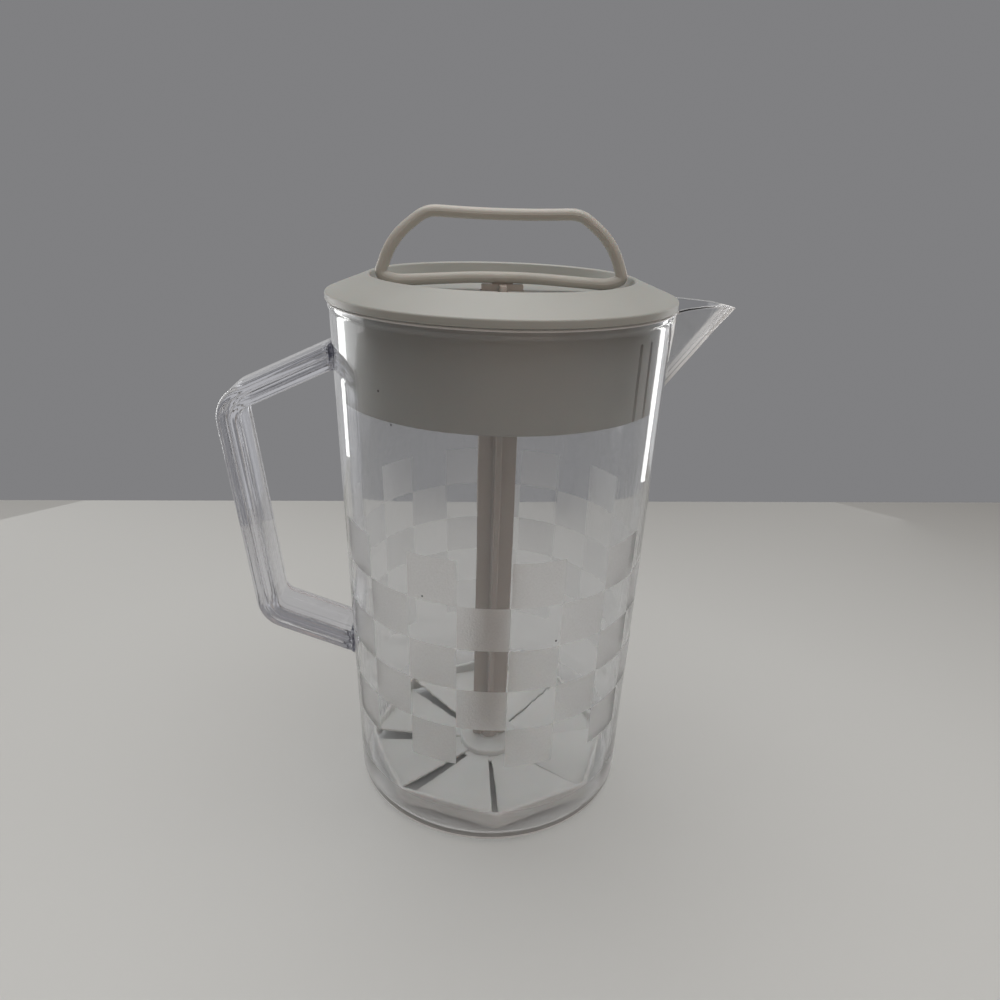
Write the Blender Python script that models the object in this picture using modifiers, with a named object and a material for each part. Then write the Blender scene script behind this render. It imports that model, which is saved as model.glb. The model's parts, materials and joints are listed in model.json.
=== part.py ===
"""Quick stir pitcher: a clear jug with a bonded handle, a lid with a strainer, and a stirring plunger.

Metres, +Z up. The origin is the centre of the flat underside, the spout points to +X and the
handle to -X. The lid lifts off along Z, and the plunger slides along Z through the lid.
"""
from math import atan2, cos, pi, radians, sin, sqrt, tan

import bmesh
import bpy
from mathutils import Matrix, Vector

# Jug wall and floor
RIM_HEIGHT = 0.216
RIM_RADIUS = 0.0658
BASE_RADIUS = 0.0611
WALL = 0.0022
FLOOR = 0.0030
FOOT_ROUND = 0.0030
FLOOR_FILLET = 0.0030
BEAD_HEIGHT = 0.0022
BEAD_PROUD = 0.0005
RIM_ROUND = 0.0005
RUNNING_GAP = 0.0003

# Spout, a hollow beak with a rounded keel
SPOUT_REACH = 0.0290
SPOUT_HALF_WIDTH = 0.0200
SPOUT_DEPTH = 0.0340
SPOUT_WALL = 0.0017
SPOUT_KEEL_ROUND = 0.0024
SPOUT_OVERRUN_SHARE = 1.35

# Handle, one bent bar of constant section
HANDLE_WIDTH = 0.0220
HANDLE_DEPTH = 0.0083
HANDLE_EDGE_ROUND = 0.0022
HANDLE_BEND = 0.0100
HANDLE_TOP_DROP = 0.0214
HANDLE_TOP_FALL = 0.0192
HANDLE_TOP_REACH = 0.0421
HANDLE_LOW_HEIGHT = 0.0672
HANDLE_LOW_RISE = 0.0149
HANDLE_LOW_REACH = 0.0348
HANDLE_ROOT_OVERRUN = 0.0080
HANDLE_GROOVE_WIDTH = 0.0026
HANDLE_GROOVE_DEPTH = 0.0011

# Lid top: flange edge, cone, crest and sunk floor
LID_OVERHANG = 0.0013
LID_EDGE = 0.0028
LID_EDGE_ROUND = 0.0009
CONE_WIDTH = 0.0140
CONE_RISE = 0.0056
CREST_WIDTH = 0.0032
CREST_RISE = 0.0007
RECESS_DEPTH = 0.0060
RECESS_DRAFT = 0.0004
LID_SKIN = 0.0020

# Lid skirt, its strainer and its pour gap
SKIRT_DEPTH = 0.0355
SKIRT_THICKNESS = 0.0019
SKIRT_GAP = 0.0004
SKIRT_FOOT_ROUND = 0.0005
STRAINER_SLOTS = 16
STRAINER_SPREAD = radians(91)
STRAINER_SLOT_WIDTH = 0.0017
STRAINER_SLOT_HEIGHT = 0.0280
STRAINER_ROUND_SHARE = 0.49
POUR_GAP_WIDTH = 0.0340
POUR_GAP_HEIGHT = 0.0240
POUR_GAP_ROUND = 0.0050

# Guide under the lid, with the cross-shaped hole for the shaft
GUIDE_WALL = 0.0029
GUIDE_LENGTH = 0.0100
GUIDE_CLEARANCE = 0.0005

# Plunger shaft, a cross in section with a round peg under its foot
SHAFT_WIDTH = 0.0162
SHAFT_RIB = 0.0028
RIB_TIP_SHARE = 0.90
SHAFT_FOOT_SHARE = 0.96
PEG_RADIUS = 0.0037
PEG_SHOULDER = 0.0010
SOCKET_CLEARANCE = 0.0003
TONGUE_WIDTH = 0.0080
TONGUE_THICKNESS = 0.0014
TONGUE_LENGTH = 0.0020

# Plunger grip, a flat loop of round bar that lies in the lid's recess; rises are above its knees
GRIP_BAR = 0.0043
GRIP_END_SHARE = 1.06
GRIP_SIDE_GAP = 0.0004
GRIP_REST_GAP = 0.0008
GRIP_TOP_RISE = 0.0243
GRIP_SHOULDER_RISE = 0.0255
GRIP_SHOULDER_SHARE = 0.618
GRIP_SHOULDER_ROUND = 0.0080
GRIP_BOW_RISE = 0.0154
GRIP_BOW_SHARE = 0.888
GRIP_BOW_ROUND = 0.0240
GRIP_CORNER_RISE = 0.0020
GRIP_CORNER_ROUND = 0.0010
GRIP_KNEE_SHARE = 0.863
GRIP_KNEE_ROUND = 0.0120
GRIP_BRIDGE_RISE = 0.0019

# Mixing disc: an eight-sided dish whose pitched blades fall from the band to a low hub
BLADES = 8
DISC_SIDE_GAP = 0.0015
DISC_PASS_GAP = 0.0010
DISC_LIFT = 0.0015
BAND_HEIGHT = 0.0075
BAND_THICKNESS = 0.0018
BAND_CORNER_ROUND = 0.0030
BLADE_THICKNESS = 0.0016
BLADE_HEIGHT = 0.0035
BLADE_FALL = 0.0034
BLADE_PITCH = radians(5.6)
BLADE_SLOT_AT_BAND = 0.0030
BLADE_SLOT_AT_HUB = 0.0016
HUB_MARGIN = 0.0055
HUB_TOP = 0.0031
HUB_EDGE_ROUND = 0.0008
SOCKET_DEPTH = 0.0033

# Facets and one overrun that serves all cuts
TURN_STEPS = 96
ARC_STEPS = 5
ROUND_STEPS = 3
BAR_RESOLUTION = 3
CUT_OVERRUN = 0.0020
MERGE = 0.00001

# Places worked out from the sizes above
TIP_X = RIM_RADIUS + SPOUT_REACH
LID_RADIUS = RIM_RADIUS + LID_OVERHANG
CREASE_RADIUS = LID_RADIUS - CONE_WIDTH
CREST_RADIUS = CREASE_RADIUS - CREST_WIDTH / 2
RECESS_RADIUS = CREASE_RADIUS - CREST_WIDTH
CREASE_UP = RUNNING_GAP + LID_EDGE + CONE_RISE
CREST_UP = CREASE_UP + CREST_RISE
RECESS_UP = CREST_UP - RECESS_DEPTH
GUIDE_RADIUS = SHAFT_WIDTH / 2 + GUIDE_CLEARANCE + GUIDE_WALL
GRIP_OUT = RECESS_RADIUS - RECESS_DRAFT - GRIP_SIDE_GAP - GRIP_BAR * GRIP_END_SHARE / 2
GRIP_KNEE_UP = RECESS_UP + GRIP_REST_GAP + GRIP_BAR / 2
GRIP_BRIDGE_UP = GRIP_KNEE_UP + GRIP_BRIDGE_RISE
HUB_RADIUS = SHAFT_WIDTH / 2 + HUB_MARGIN
SHAFT_FOOT = FLOOR + DISC_LIFT + HUB_TOP + PEG_SHOULDER
PEG_FOOT = SHAFT_FOOT - PEG_SHOULDER - SOCKET_DEPTH + SOCKET_CLEARANCE


def wall_radius(height):
    """Outer radius of the jug at a height: a straight draft from base to rim."""
    return BASE_RADIUS + (RIM_RADIUS - BASE_RADIUS) * height / RIM_HEIGHT


def bore_radius(height):
    """Inner radius of the jug at a height."""
    return wall_radius(height) - WALL


def skirt_radius(height):
    """Outer radius of the lid's skirt at a height of the jug; it also passes the jug's mouth."""
    return min(bore_radius(height), bore_radius(RIM_HEIGHT)) - SKIRT_GAP


def disc_radius():
    """Corner radius of the mixing disc, which clears the wall at the floor and the skirt above."""
    beside_wall = bore_radius(FLOOR + DISC_LIFT) - DISC_SIDE_GAP
    through_skirt = skirt_radius(RIM_HEIGHT - SKIRT_DEPTH) - SKIRT_THICKNESS - DISC_PASS_GAP
    return min(beside_wall, through_skirt)


def clear_scene():
    """Remove every object of the open file."""
    for old in list(bpy.data.objects):
        bpy.data.objects.remove(old, do_unlink=True)


def new_collection(name):
    """A collection under the scene."""
    group = bpy.data.collections.new(name)
    bpy.context.scene.collection.children.link(group)
    return group


def make_material(name, colour, roughness, alpha=1.0):
    """A Principled material with a plain colour."""
    finish = bpy.data.materials.new(name)
    finish.use_nodes = True
    shader = finish.node_tree.nodes["Principled BSDF"]
    shader.inputs["Base Color"].default_value = (*colour, 1.0)
    shader.inputs["Roughness"].default_value = roughness
    shader.inputs["Metallic"].default_value = 0.0
    shader.inputs["Alpha"].default_value = alpha
    return finish


def add_object(name, mesh, group):
    """Put a mesh in the scene as an object of one collection."""
    thing = bpy.data.objects.new(name, mesh)
    group.objects.link(thing)
    return thing


def as_cutter(thing):
    """Mark an object as a cutter, which shows as wires and is no part of the jug."""
    thing.hide_render = True
    thing.display_type = "WIRE"
    return thing


def boolean(thing, other, operation):
    """Add a Boolean modifier that joins or cuts with another object."""
    step = thing.modifiers.new(f"{operation.lower()}_{other.name}", "BOOLEAN")
    step.operation = operation
    step.solver = "EXACT"
    step.object = other


def shade_round(thing, angle=radians(35)):
    """Shade a piece smooth, with its sharp edges kept."""
    thing.data.shade_smooth()
    thing.data.set_sharp_from_angle(angle=angle)


def arc(centre, radius, start, end, steps=ARC_STEPS):
    """Points along an arc, as (across, up) pairs."""
    points = []
    for i in range(steps + 1):
        turn = start + (end - start) * i / steps
        points.append((centre[0] + radius * cos(turn), centre[1] + radius * sin(turn)))
    return points


def rounded_path(corners, closed=False):
    """A path of (across, up) points through corners given as (across, up, radius)."""
    count = len(corners)
    path = []
    for i, (across, up, radius) in enumerate(corners):
        here = Vector((across, up))
        if radius == 0 or (not closed and i in (0, count - 1)):
            path.append((across, up))
            continue
        before = (Vector(corners[i - 1][:2]) - here).normalized()
        after = (Vector(corners[(i + 1) % count][:2]) - here).normalized()
        half = before.angle(after) / 2
        centre = here + (before + after).normalized() * radius / sin(half)
        first = here + before * radius / tan(half) - centre
        last = here + after * radius / tan(half) - centre
        sweep = first.angle_signed(last)
        for j in range(ARC_STEPS + 1):
            point = first.copy()
            point.rotate(Matrix.Rotation(-sweep * j / ARC_STEPS, 2))
            path.append(tuple(centre + point))
    return path


def offset_path(path, distance):
    """An open path moved sideways by a distance, to its left."""
    moved = []
    for i, point in enumerate(path):
        ahead = Vector(path[min(i + 1, len(path) - 1)]) - Vector(point)
        behind = Vector(point) - Vector(path[max(i - 1, 0)])
        ahead = ahead if ahead.length > MERGE else behind
        behind = behind if behind.length > MERGE else ahead
        along = (ahead.normalized() + behind.normalized()).normalized()
        reach = distance / along.dot(ahead.normalized())
        moved.append((point[0] - along.y * reach, point[1] + along.x * reach))
    return moved


def turned(name, profile, group, steps=TURN_STEPS):
    """A turned piece: a profile of (radius, height) points run down its outer side, screwed about Z."""
    mesh = bpy.data.meshes.new(name)
    edges = [(i, i + 1) for i in range(len(profile) - 1)]
    mesh.from_pydata([(radius, 0, height) for radius, height in profile], edges, [])
    thing = add_object(name, mesh, group)
    screw = thing.modifiers.new("turned", "SCREW")
    screw.axis = "Z"
    screw.angle = 2 * pi
    screw.steps = steps
    screw.render_steps = steps
    screw.use_merge_vertices = True
    screw.merge_threshold = MERGE
    screw.use_smooth_shade = True
    return thing


def plate(name, outlines, thickness, group):
    """A flat plate in local XY from closed outlines of (x, y), its thickness centred on Z = 0."""
    curve = bpy.data.curves.new(name, "CURVE")
    curve.dimensions = "2D"
    curve.fill_mode = "BOTH"
    curve.extrude = thickness / 2
    for outline in outlines:
        spline = curve.splines.new("POLY")
        spline.points.add(len(outline) - 1)
        for point, (x, y) in zip(spline.points, outline):
            point.co = (x, y, 0, 1)
        spline.use_cyclic_u = True
    return curve_to_mesh(add_object(name, curve, group), group)


def curve_to_mesh(source, group):
    """Swap a curve object for a mesh object of the same name and place, with its caps welded."""
    bpy.context.view_layer.update()
    evaluated = source.evaluated_get(bpy.context.evaluated_depsgraph_get())
    mesh = bpy.data.meshes.new_from_object(evaluated)
    name = source.name
    place = source.matrix_world.copy()
    bpy.data.objects.remove(source, do_unlink=True)
    shape = bmesh.new()
    shape.from_mesh(mesh)
    bmesh.ops.remove_doubles(shape, verts=shape.verts, dist=MERGE)
    bmesh.ops.recalc_face_normals(shape, faces=shape.faces)
    shape.to_mesh(mesh)
    shape.free()
    thing = add_object(name, mesh, group)
    thing.matrix_world = place
    return thing


def box(name, size, centre, group):
    """A box from its size and its centre."""
    mesh = bpy.data.meshes.new(name)
    shape = bmesh.new()
    bmesh.ops.create_cube(shape, size=1)
    bmesh.ops.scale(shape, vec=size, verts=shape.verts)
    bmesh.ops.translate(shape, vec=centre, verts=shape.verts)
    shape.to_mesh(mesh)
    shape.free()
    return add_object(name, mesh, group)


def cross_outline(half_width, half_rib):
    """The twelve corners of a cross with equal arms, each a little thinner at its end."""
    half_tip = half_rib * RIB_TIP_SHARE
    quarter = [(half_tip, half_width), (half_rib, half_rib), (half_width, half_tip)]
    outline = []
    for i in range(4):
        for x, y in reversed(quarter):
            turn = i * pi / 2
            outline.append((x * cos(turn) - y * sin(turn), x * sin(turn) + y * cos(turn)))
    return outline


def outside_profile():
    """Section of the jug's outside: down from the middle of the rim plane, over the bead, to the foot."""
    foot = (wall_radius(0) - FOOT_ROUND, FOOT_ROUND)
    bead = RIM_RADIUS + BEAD_PROUD
    under_bead = RIM_HEIGHT - BEAD_HEIGHT
    profile = [(0, RIM_HEIGHT)]
    profile += arc((bead - RIM_ROUND, RIM_HEIGHT - RIM_ROUND), RIM_ROUND, pi / 2, 0, ROUND_STEPS)
    profile += [(bead, under_bead), (wall_radius(under_bead - BEAD_PROUD), under_bead - BEAD_PROUD)]
    profile.append((wall_radius(RIM_HEIGHT / 2), RIM_HEIGHT / 2))
    profile += arc(foot, FOOT_ROUND, 0, -pi / 2)
    profile.append((0, 0))
    return profile


def bore_profile():
    """Section of the jug's bore: a little above the rim, its rounded mouth, the wall and the floor."""
    mouth = bore_radius(RIM_HEIGHT) + RIM_ROUND
    fillet = (bore_radius(FLOOR) - FLOOR_FILLET, FLOOR + FLOOR_FILLET)
    profile = [(0, RIM_HEIGHT + CUT_OVERRUN), (mouth, RIM_HEIGHT + CUT_OVERRUN)]
    profile += arc((mouth, RIM_HEIGHT - RIM_ROUND), RIM_ROUND, pi / 2, pi, ROUND_STEPS)
    profile.append((bore_radius(RIM_HEIGHT / 2), RIM_HEIGHT / 2))
    profile += arc(fillet, FLOOR_FILLET, 0, -pi / 2)
    profile.append((0, FLOOR))
    return profile


def beak(name, size_share, shift, keel_round, group):
    """A beak-shaped solid: a keel line, two sides that meet on it, and a flat top."""
    keel_height = RIM_HEIGHT - SPOUT_DEPTH
    keel_x = wall_radius(keel_height)
    inward = WALL / 2
    fall_share = SPOUT_DEPTH / (TIP_X - keel_x)
    root_x = sqrt((RIM_RADIUS - inward) ** 2 - SPOUT_HALF_WIDTH ** 2)
    start = Vector((root_x, 0, keel_height - (keel_x - root_x) * fall_share))
    corners = [
        start,
        Vector((TIP_X, 0, RIM_HEIGHT)),
        Vector((root_x, -SPOUT_HALF_WIDTH, RIM_HEIGHT)),
        Vector((root_x, SPOUT_HALF_WIDTH, RIM_HEIGHT)),
    ]
    shape = bmesh.new()
    verts = [shape.verts.new(start + (corner - start) * size_share + shift) for corner in corners]
    bmesh.ops.convex_hull(shape, input=shape.verts)
    keel = shape.edges.get((verts[0], verts[1]))
    bmesh.ops.bevel(
        shape, geom=[keel], offset=keel_round, segments=ROUND_STEPS, affect="EDGES", profile=0.5
    )
    bmesh.ops.recalc_face_normals(shape, faces=shape.faces)
    mesh = bpy.data.meshes.new(name)
    shape.to_mesh(mesh)
    shape.free()
    return as_cutter(add_object(name, mesh, group))


def make_jug(parts, cutters, finish):
    """The clear jug: one moulding with its floor and its spout."""
    jug = turned("pitcher_body", outside_profile(), parts)
    keel_height = RIM_HEIGHT - SPOUT_DEPTH
    keel = Vector((TIP_X - wall_radius(keel_height), 0, SPOUT_DEPTH)).normalized()
    side = Vector((SPOUT_REACH, SPOUT_HALF_WIDTH, 0)).normalized()
    side_normal = keel.cross(side).normalized()
    inward = Vector((-keel.z, 0, keel.x))
    shift = inward * SPOUT_WALL / abs(side_normal.dot(inward))
    boolean(jug, beak("spout_outside", 1, Vector(), SPOUT_KEEL_ROUND, cutters), "UNION")
    boolean(jug, as_cutter(turned("jug_bore", bore_profile(), cutters)), "DIFFERENCE")
    hollow_round = SPOUT_KEEL_ROUND - SPOUT_WALL / 2
    boolean(jug, beak("spout_hollow", SPOUT_OVERRUN_SHARE, shift, hollow_round, cutters), "DIFFERENCE")
    jug.data.materials.append(finish)
    return jug


def handle_path():
    """Centre line of the handle in (x, z), from the upper root round the grip to the lower root."""
    top_height = RIM_HEIGHT - HANDLE_TOP_DROP
    top_x = -wall_radius(top_height)
    low_x = -wall_radius(HANDLE_LOW_HEIGHT)
    top_root = Vector((top_x, top_height))
    low_root = Vector((low_x, HANDLE_LOW_HEIGHT))
    top_corner = Vector((top_x - HANDLE_TOP_REACH, top_height - HANDLE_TOP_FALL))
    low_corner = Vector((low_x - HANDLE_LOW_REACH, HANDLE_LOW_HEIGHT + HANDLE_LOW_RISE))
    top_start = top_root + (top_root - top_corner).normalized() * HANDLE_ROOT_OVERRUN
    low_end = low_root + (low_root - low_corner).normalized() * HANDLE_ROOT_OVERRUN
    return rounded_path([
        (*top_start, 0),
        (*top_corner, HANDLE_BEND),
        (*low_corner, HANDLE_BEND),
        (*low_end, 0),
    ])


def handle_section():
    """Section of the handle in (across, outward): a rounded rectangle with a groove in each side."""
    half_width = HANDLE_WIDTH / 2
    half_depth = HANDLE_DEPTH / 2
    half_groove = HANDLE_GROOVE_WIDTH / 2
    groove_foot = half_width - HANDLE_GROOVE_DEPTH
    right = [
        (half_width, -half_depth, HANDLE_EDGE_ROUND),
        (half_width, -half_groove, 0),
        (groove_foot, -half_groove / 2, 0),
        (groove_foot, half_groove / 2, 0),
        (half_width, half_groove, 0),
        (half_width, half_depth, HANDLE_EDGE_ROUND),
    ]
    left = [(-across, outward, radius) for across, outward, radius in reversed(right)]
    return rounded_path(right + left, closed=True)


def swept(name, path, section, group):
    """A bar of one section of (across, outward) points, swept along an open path in the XZ plane."""
    lines = [[(x, across, z) for x, z in offset_path(path, outward)] for across, outward in section]
    shape = bmesh.new()
    rows = [[shape.verts.new(point) for point in line] for line in lines]
    for i, row in enumerate(rows):
        other = rows[(i + 1) % len(rows)]
        for j in range(len(path) - 1):
            shape.faces.new((row[j], row[j + 1], other[j + 1], other[j]))
    shape.faces.new([row[0] for row in rows])
    shape.faces.new([row[-1] for row in rows])
    bmesh.ops.recalc_face_normals(shape, faces=shape.faces)
    mesh = bpy.data.meshes.new(name)
    shape.to_mesh(mesh)
    shape.free()
    return add_object(name, mesh, group)


def make_handle(parts, cutters, finish):
    """The bonded handle: a bent bar with rounded edges, a groove down each side and ends cut to the wall."""
    handle = swept("pour_handle", handle_path(), handle_section(), parts)
    clear_low = -CUT_OVERRUN
    profile = [
        (0, RIM_HEIGHT),
        (wall_radius(RIM_HEIGHT) + RUNNING_GAP, RIM_HEIGHT),
        (wall_radius(clear_low) + RUNNING_GAP, clear_low),
        (0, clear_low),
    ]
    boolean(handle, as_cutter(turned("wall_clearance", profile, cutters)), "DIFFERENCE")
    handle.data.materials.append(finish)
    return handle


def lid_profile():
    """Section of the lid above the rim plane: down the outside, up inside the skirt, in to the guide."""
    edge_low = RUNNING_GAP
    edge_top = RUNNING_GAP + LID_EDGE
    skirt_top = skirt_radius(RIM_HEIGHT)
    skirt_foot = skirt_radius(RIM_HEIGHT - SKIRT_DEPTH)
    inner_top = skirt_top - SKIRT_THICKNESS
    inner_foot = skirt_foot - SKIRT_THICKNESS
    slope = CONE_RISE / CONE_WIDTH
    recess_under = RECESS_RADIUS + LID_SKIN
    cone_under = edge_top + (LID_RADIUS - inner_top) * slope - LID_SKIN
    crest_under = edge_top + (LID_RADIUS - recess_under) * slope - LID_SKIN
    floor_under = RECESS_UP - LID_SKIN
    profile = [(0, RECESS_UP), (RECESS_RADIUS - RECESS_DRAFT, RECESS_UP)]
    profile += [(RECESS_RADIUS, CREST_UP - CREST_RISE), (CREST_RADIUS - CREST_WIDTH / 4, CREST_UP)]
    profile += [(CREST_RADIUS, CREST_UP), (CREASE_RADIUS, CREASE_UP)]
    edge_centre = (LID_RADIUS - LID_EDGE_ROUND, edge_top - LID_EDGE_ROUND)
    profile += arc(edge_centre, LID_EDGE_ROUND, pi / 2, 0, ROUND_STEPS)
    profile += [(LID_RADIUS, edge_low), (skirt_top, edge_low)]
    foot_height = -SKIRT_DEPTH + SKIRT_FOOT_ROUND
    profile += arc((skirt_foot - SKIRT_FOOT_ROUND, foot_height), SKIRT_FOOT_ROUND, 0, -pi / 2, ROUND_STEPS)
    profile += arc((inner_foot + SKIRT_FOOT_ROUND, foot_height), SKIRT_FOOT_ROUND, -pi / 2, -pi, ROUND_STEPS)
    profile += [(inner_top, cone_under), (recess_under, crest_under), (recess_under, floor_under)]
    profile += [(GUIDE_RADIUS, floor_under), (GUIDE_RADIUS, floor_under - GUIDE_LENGTH)]
    profile.append((0, floor_under - GUIDE_LENGTH))
    return profile


def slot_outline(width, height, corner):
    """An upright slot in (across, up): open below its foot, with rounded top corners."""
    half = width / 2
    return rounded_path([
        (-half, -CUT_OVERRUN, 0),
        (half, -CUT_OVERRUN, 0),
        (half, height, corner),
        (-half, height, corner),
    ], closed=True)


def skirt_cutter(name, spin, outline, group):
    """A slot cutter that passes through the skirt on one side of the lid."""
    reach = wall_radius(RIM_HEIGHT - SKIRT_DEPTH)
    depth = 2 * (SKIRT_THICKNESS + SKIRT_GAP + WALL + CUT_OVERRUN)
    cutter = plate(name, [outline], depth, group)
    cutter.data.transform(Matrix.Rotation(pi / 2, 4, "Z") @ Matrix.Rotation(pi / 2, 4, "X"))
    cutter.data.transform(Matrix.Translation((reach, 0, -SKIRT_DEPTH)))
    cutter.data.transform(Matrix.Rotation(spin, 4, "Z"))
    return cutter


def make_lid(parts, cutters, finish, axis):
    """The lid: top, skirt, strainer slots at the spout, pour gap opposite, and the shaft's guide."""
    lid = turned("lid", lid_profile(), parts)
    round_top = STRAINER_SLOT_WIDTH * STRAINER_ROUND_SHARE
    narrow = slot_outline(STRAINER_SLOT_WIDTH, STRAINER_SLOT_HEIGHT, round_top)
    wide = slot_outline(POUR_GAP_WIDTH, POUR_GAP_HEIGHT, POUR_GAP_ROUND)
    tools = [skirt_cutter("pour_gap", pi, wide, cutters)]
    for i in range(STRAINER_SLOTS):
        spin = STRAINER_SPREAD * (i / (STRAINER_SLOTS - 1) - 0.5)
        tools.append(skirt_cutter(f"strainer_slot_{i + 1:02d}", spin, narrow, cutters))
    hole_half = SHAFT_WIDTH / 2 + GUIDE_CLEARANCE
    rib_half = SHAFT_RIB / 2 + GUIDE_CLEARANCE
    hole_length = GUIDE_LENGTH + LID_SKIN + 2 * CUT_OVERRUN
    hole = plate("guide_hole", [cross_outline(hole_half, rib_half)], hole_length, cutters)
    hole.data.transform(Matrix.Translation((0, 0, RECESS_UP + CUT_OVERRUN - hole_length / 2)))
    tools.append(hole)
    for tool in tools:
        tool.parent = axis
        boolean(lid, as_cutter(tool), "DIFFERENCE")
    lid.parent = axis
    lid.data.materials.append(finish)
    return lid


def grip_path():
    """Centre line of the grip loop in (x, up from the rim): right half, then its mirror image."""
    knee_up = GRIP_KNEE_UP
    right = [
        (0, knee_up + GRIP_TOP_RISE, 0),
        (GRIP_OUT * GRIP_SHOULDER_SHARE, knee_up + GRIP_SHOULDER_RISE, GRIP_SHOULDER_ROUND),
        (GRIP_OUT * GRIP_BOW_SHARE, knee_up + GRIP_BOW_RISE, GRIP_BOW_ROUND),
        (GRIP_OUT, knee_up + GRIP_CORNER_RISE, GRIP_CORNER_ROUND),
        (GRIP_OUT * GRIP_KNEE_SHARE, knee_up, GRIP_KNEE_ROUND),
        (SHAFT_WIDTH / 2 + GRIP_BAR / 2, GRIP_BRIDGE_UP, 0),
    ]
    left = [(-across, up, radius) for across, up, radius in reversed(right[1:])]
    return rounded_path(right + left, closed=True)


def make_grip(parts, cutters, finish, axis):
    """The grip loop, with a small mortise under its bridge for the shaft's tongue."""
    curve = bpy.data.curves.new("plunger_grip", "CURVE")
    curve.dimensions = "3D"
    curve.bevel_depth = GRIP_BAR / 2
    curve.bevel_resolution = BAR_RESOLUTION
    path = grip_path()
    spline = curve.splines.new("POLY")
    spline.points.add(len(path) - 1)
    for point, (across, up) in zip(spline.points, path):
        point.co = (across, 0, up, 1)
        outward = (abs(across) / GRIP_OUT - GRIP_SHOULDER_SHARE) / (1 - GRIP_SHOULDER_SHARE)
        point.radius = 1 + (GRIP_END_SHARE - 1) * min(max(outward, 0), 1)
    spline.use_cyclic_u = True
    grip = curve_to_mesh(add_object("plunger_grip", curve, parts), parts)
    bridge_under = GRIP_BRIDGE_UP - GRIP_BAR / 2
    size = (
        TONGUE_WIDTH + 2 * SOCKET_CLEARANCE,
        TONGUE_THICKNESS + 2 * SOCKET_CLEARANCE,
        TONGUE_LENGTH + SOCKET_CLEARANCE + CUT_OVERRUN,
    )
    centre = (0, 0, bridge_under + TONGUE_LENGTH + SOCKET_CLEARANCE - size[2] / 2)
    mortise = as_cutter(box("grip_mortise", size, centre, cutters))
    mortise.parent = axis
    boolean(grip, mortise, "DIFFERENCE")
    grip.parent = axis
    grip.data.materials.append(finish)
    return grip


def make_shaft(parts, cutters, finish, axis):
    """The plunger's shaft: a tapered cross from the disc to the grip, a tongue on top and a round peg below."""
    foot = SHAFT_FOOT - RIM_HEIGHT
    head = GRIP_BRIDGE_UP - GRIP_BAR / 2 - RUNNING_GAP
    outline = cross_outline(SHAFT_WIDTH / 2, SHAFT_RIB / 2)
    shaft = plate("plunger_shaft", [outline], head - foot, parts)
    shaft.data.transform(Matrix.Translation((0, 0, (head + foot) / 2)))
    for vert in shaft.data.vertices:
        if vert.co.z < (head + foot) / 2:
            vert.co.x *= SHAFT_FOOT_SHARE
            vert.co.y *= SHAFT_FOOT_SHARE
    size = (TONGUE_WIDTH, TONGUE_THICKNESS, TONGUE_LENGTH + RUNNING_GAP + CUT_OVERRUN)
    centre = (0, 0, head + TONGUE_LENGTH + RUNNING_GAP - size[2] / 2)
    tongue = as_cutter(box("shaft_tongue", size, centre, cutters))
    tongue.parent = axis
    boolean(shaft, tongue, "UNION")
    peg_top = foot + CUT_OVERRUN
    peg_foot = PEG_FOOT - RIM_HEIGHT
    profile = [(0, peg_top), (PEG_RADIUS, peg_top), (PEG_RADIUS, peg_foot), (0, peg_foot)]
    peg = as_cutter(turned("shaft_peg", profile, cutters, TURN_STEPS // 2))
    peg.parent = axis
    boolean(shaft, peg, "UNION")
    shaft.parent = axis
    shaft.data.materials.append(finish)
    return shaft


def polygon(radius, spin=0.0):
    """The corners of the disc's outline at a corner radius."""
    return [
        (radius * cos(spin + 2 * pi * i / BLADES), radius * sin(spin + 2 * pi * i / BLADES))
        for i in range(BLADES)
    ]


def blade_outline(corner_radius):
    """One blade seen from above, its centre line along +X: from inside the hub into the band."""
    half_turn = pi / BLADES
    band_inner = corner_radius * cos(half_turn) - BAND_THICKNESS
    outer = band_inner + BAND_THICKNESS / 2
    start = HUB_RADIUS - CUT_OVERRUN / 2
    hub_half = HUB_RADIUS * tan(half_turn) - BLADE_SLOT_AT_HUB / (2 * cos(half_turn))
    band_half = band_inner * tan(half_turn) - BLADE_SLOT_AT_BAND / (2 * cos(half_turn))
    growth = (band_half - hub_half) / (band_inner - HUB_RADIUS)
    start_half = hub_half + (start - HUB_RADIUS) * growth
    outer_half = band_half + (outer - band_inner) * growth
    return [(start, -start_half), (outer, -outer_half), (outer, outer_half), (start, start_half)]


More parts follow.
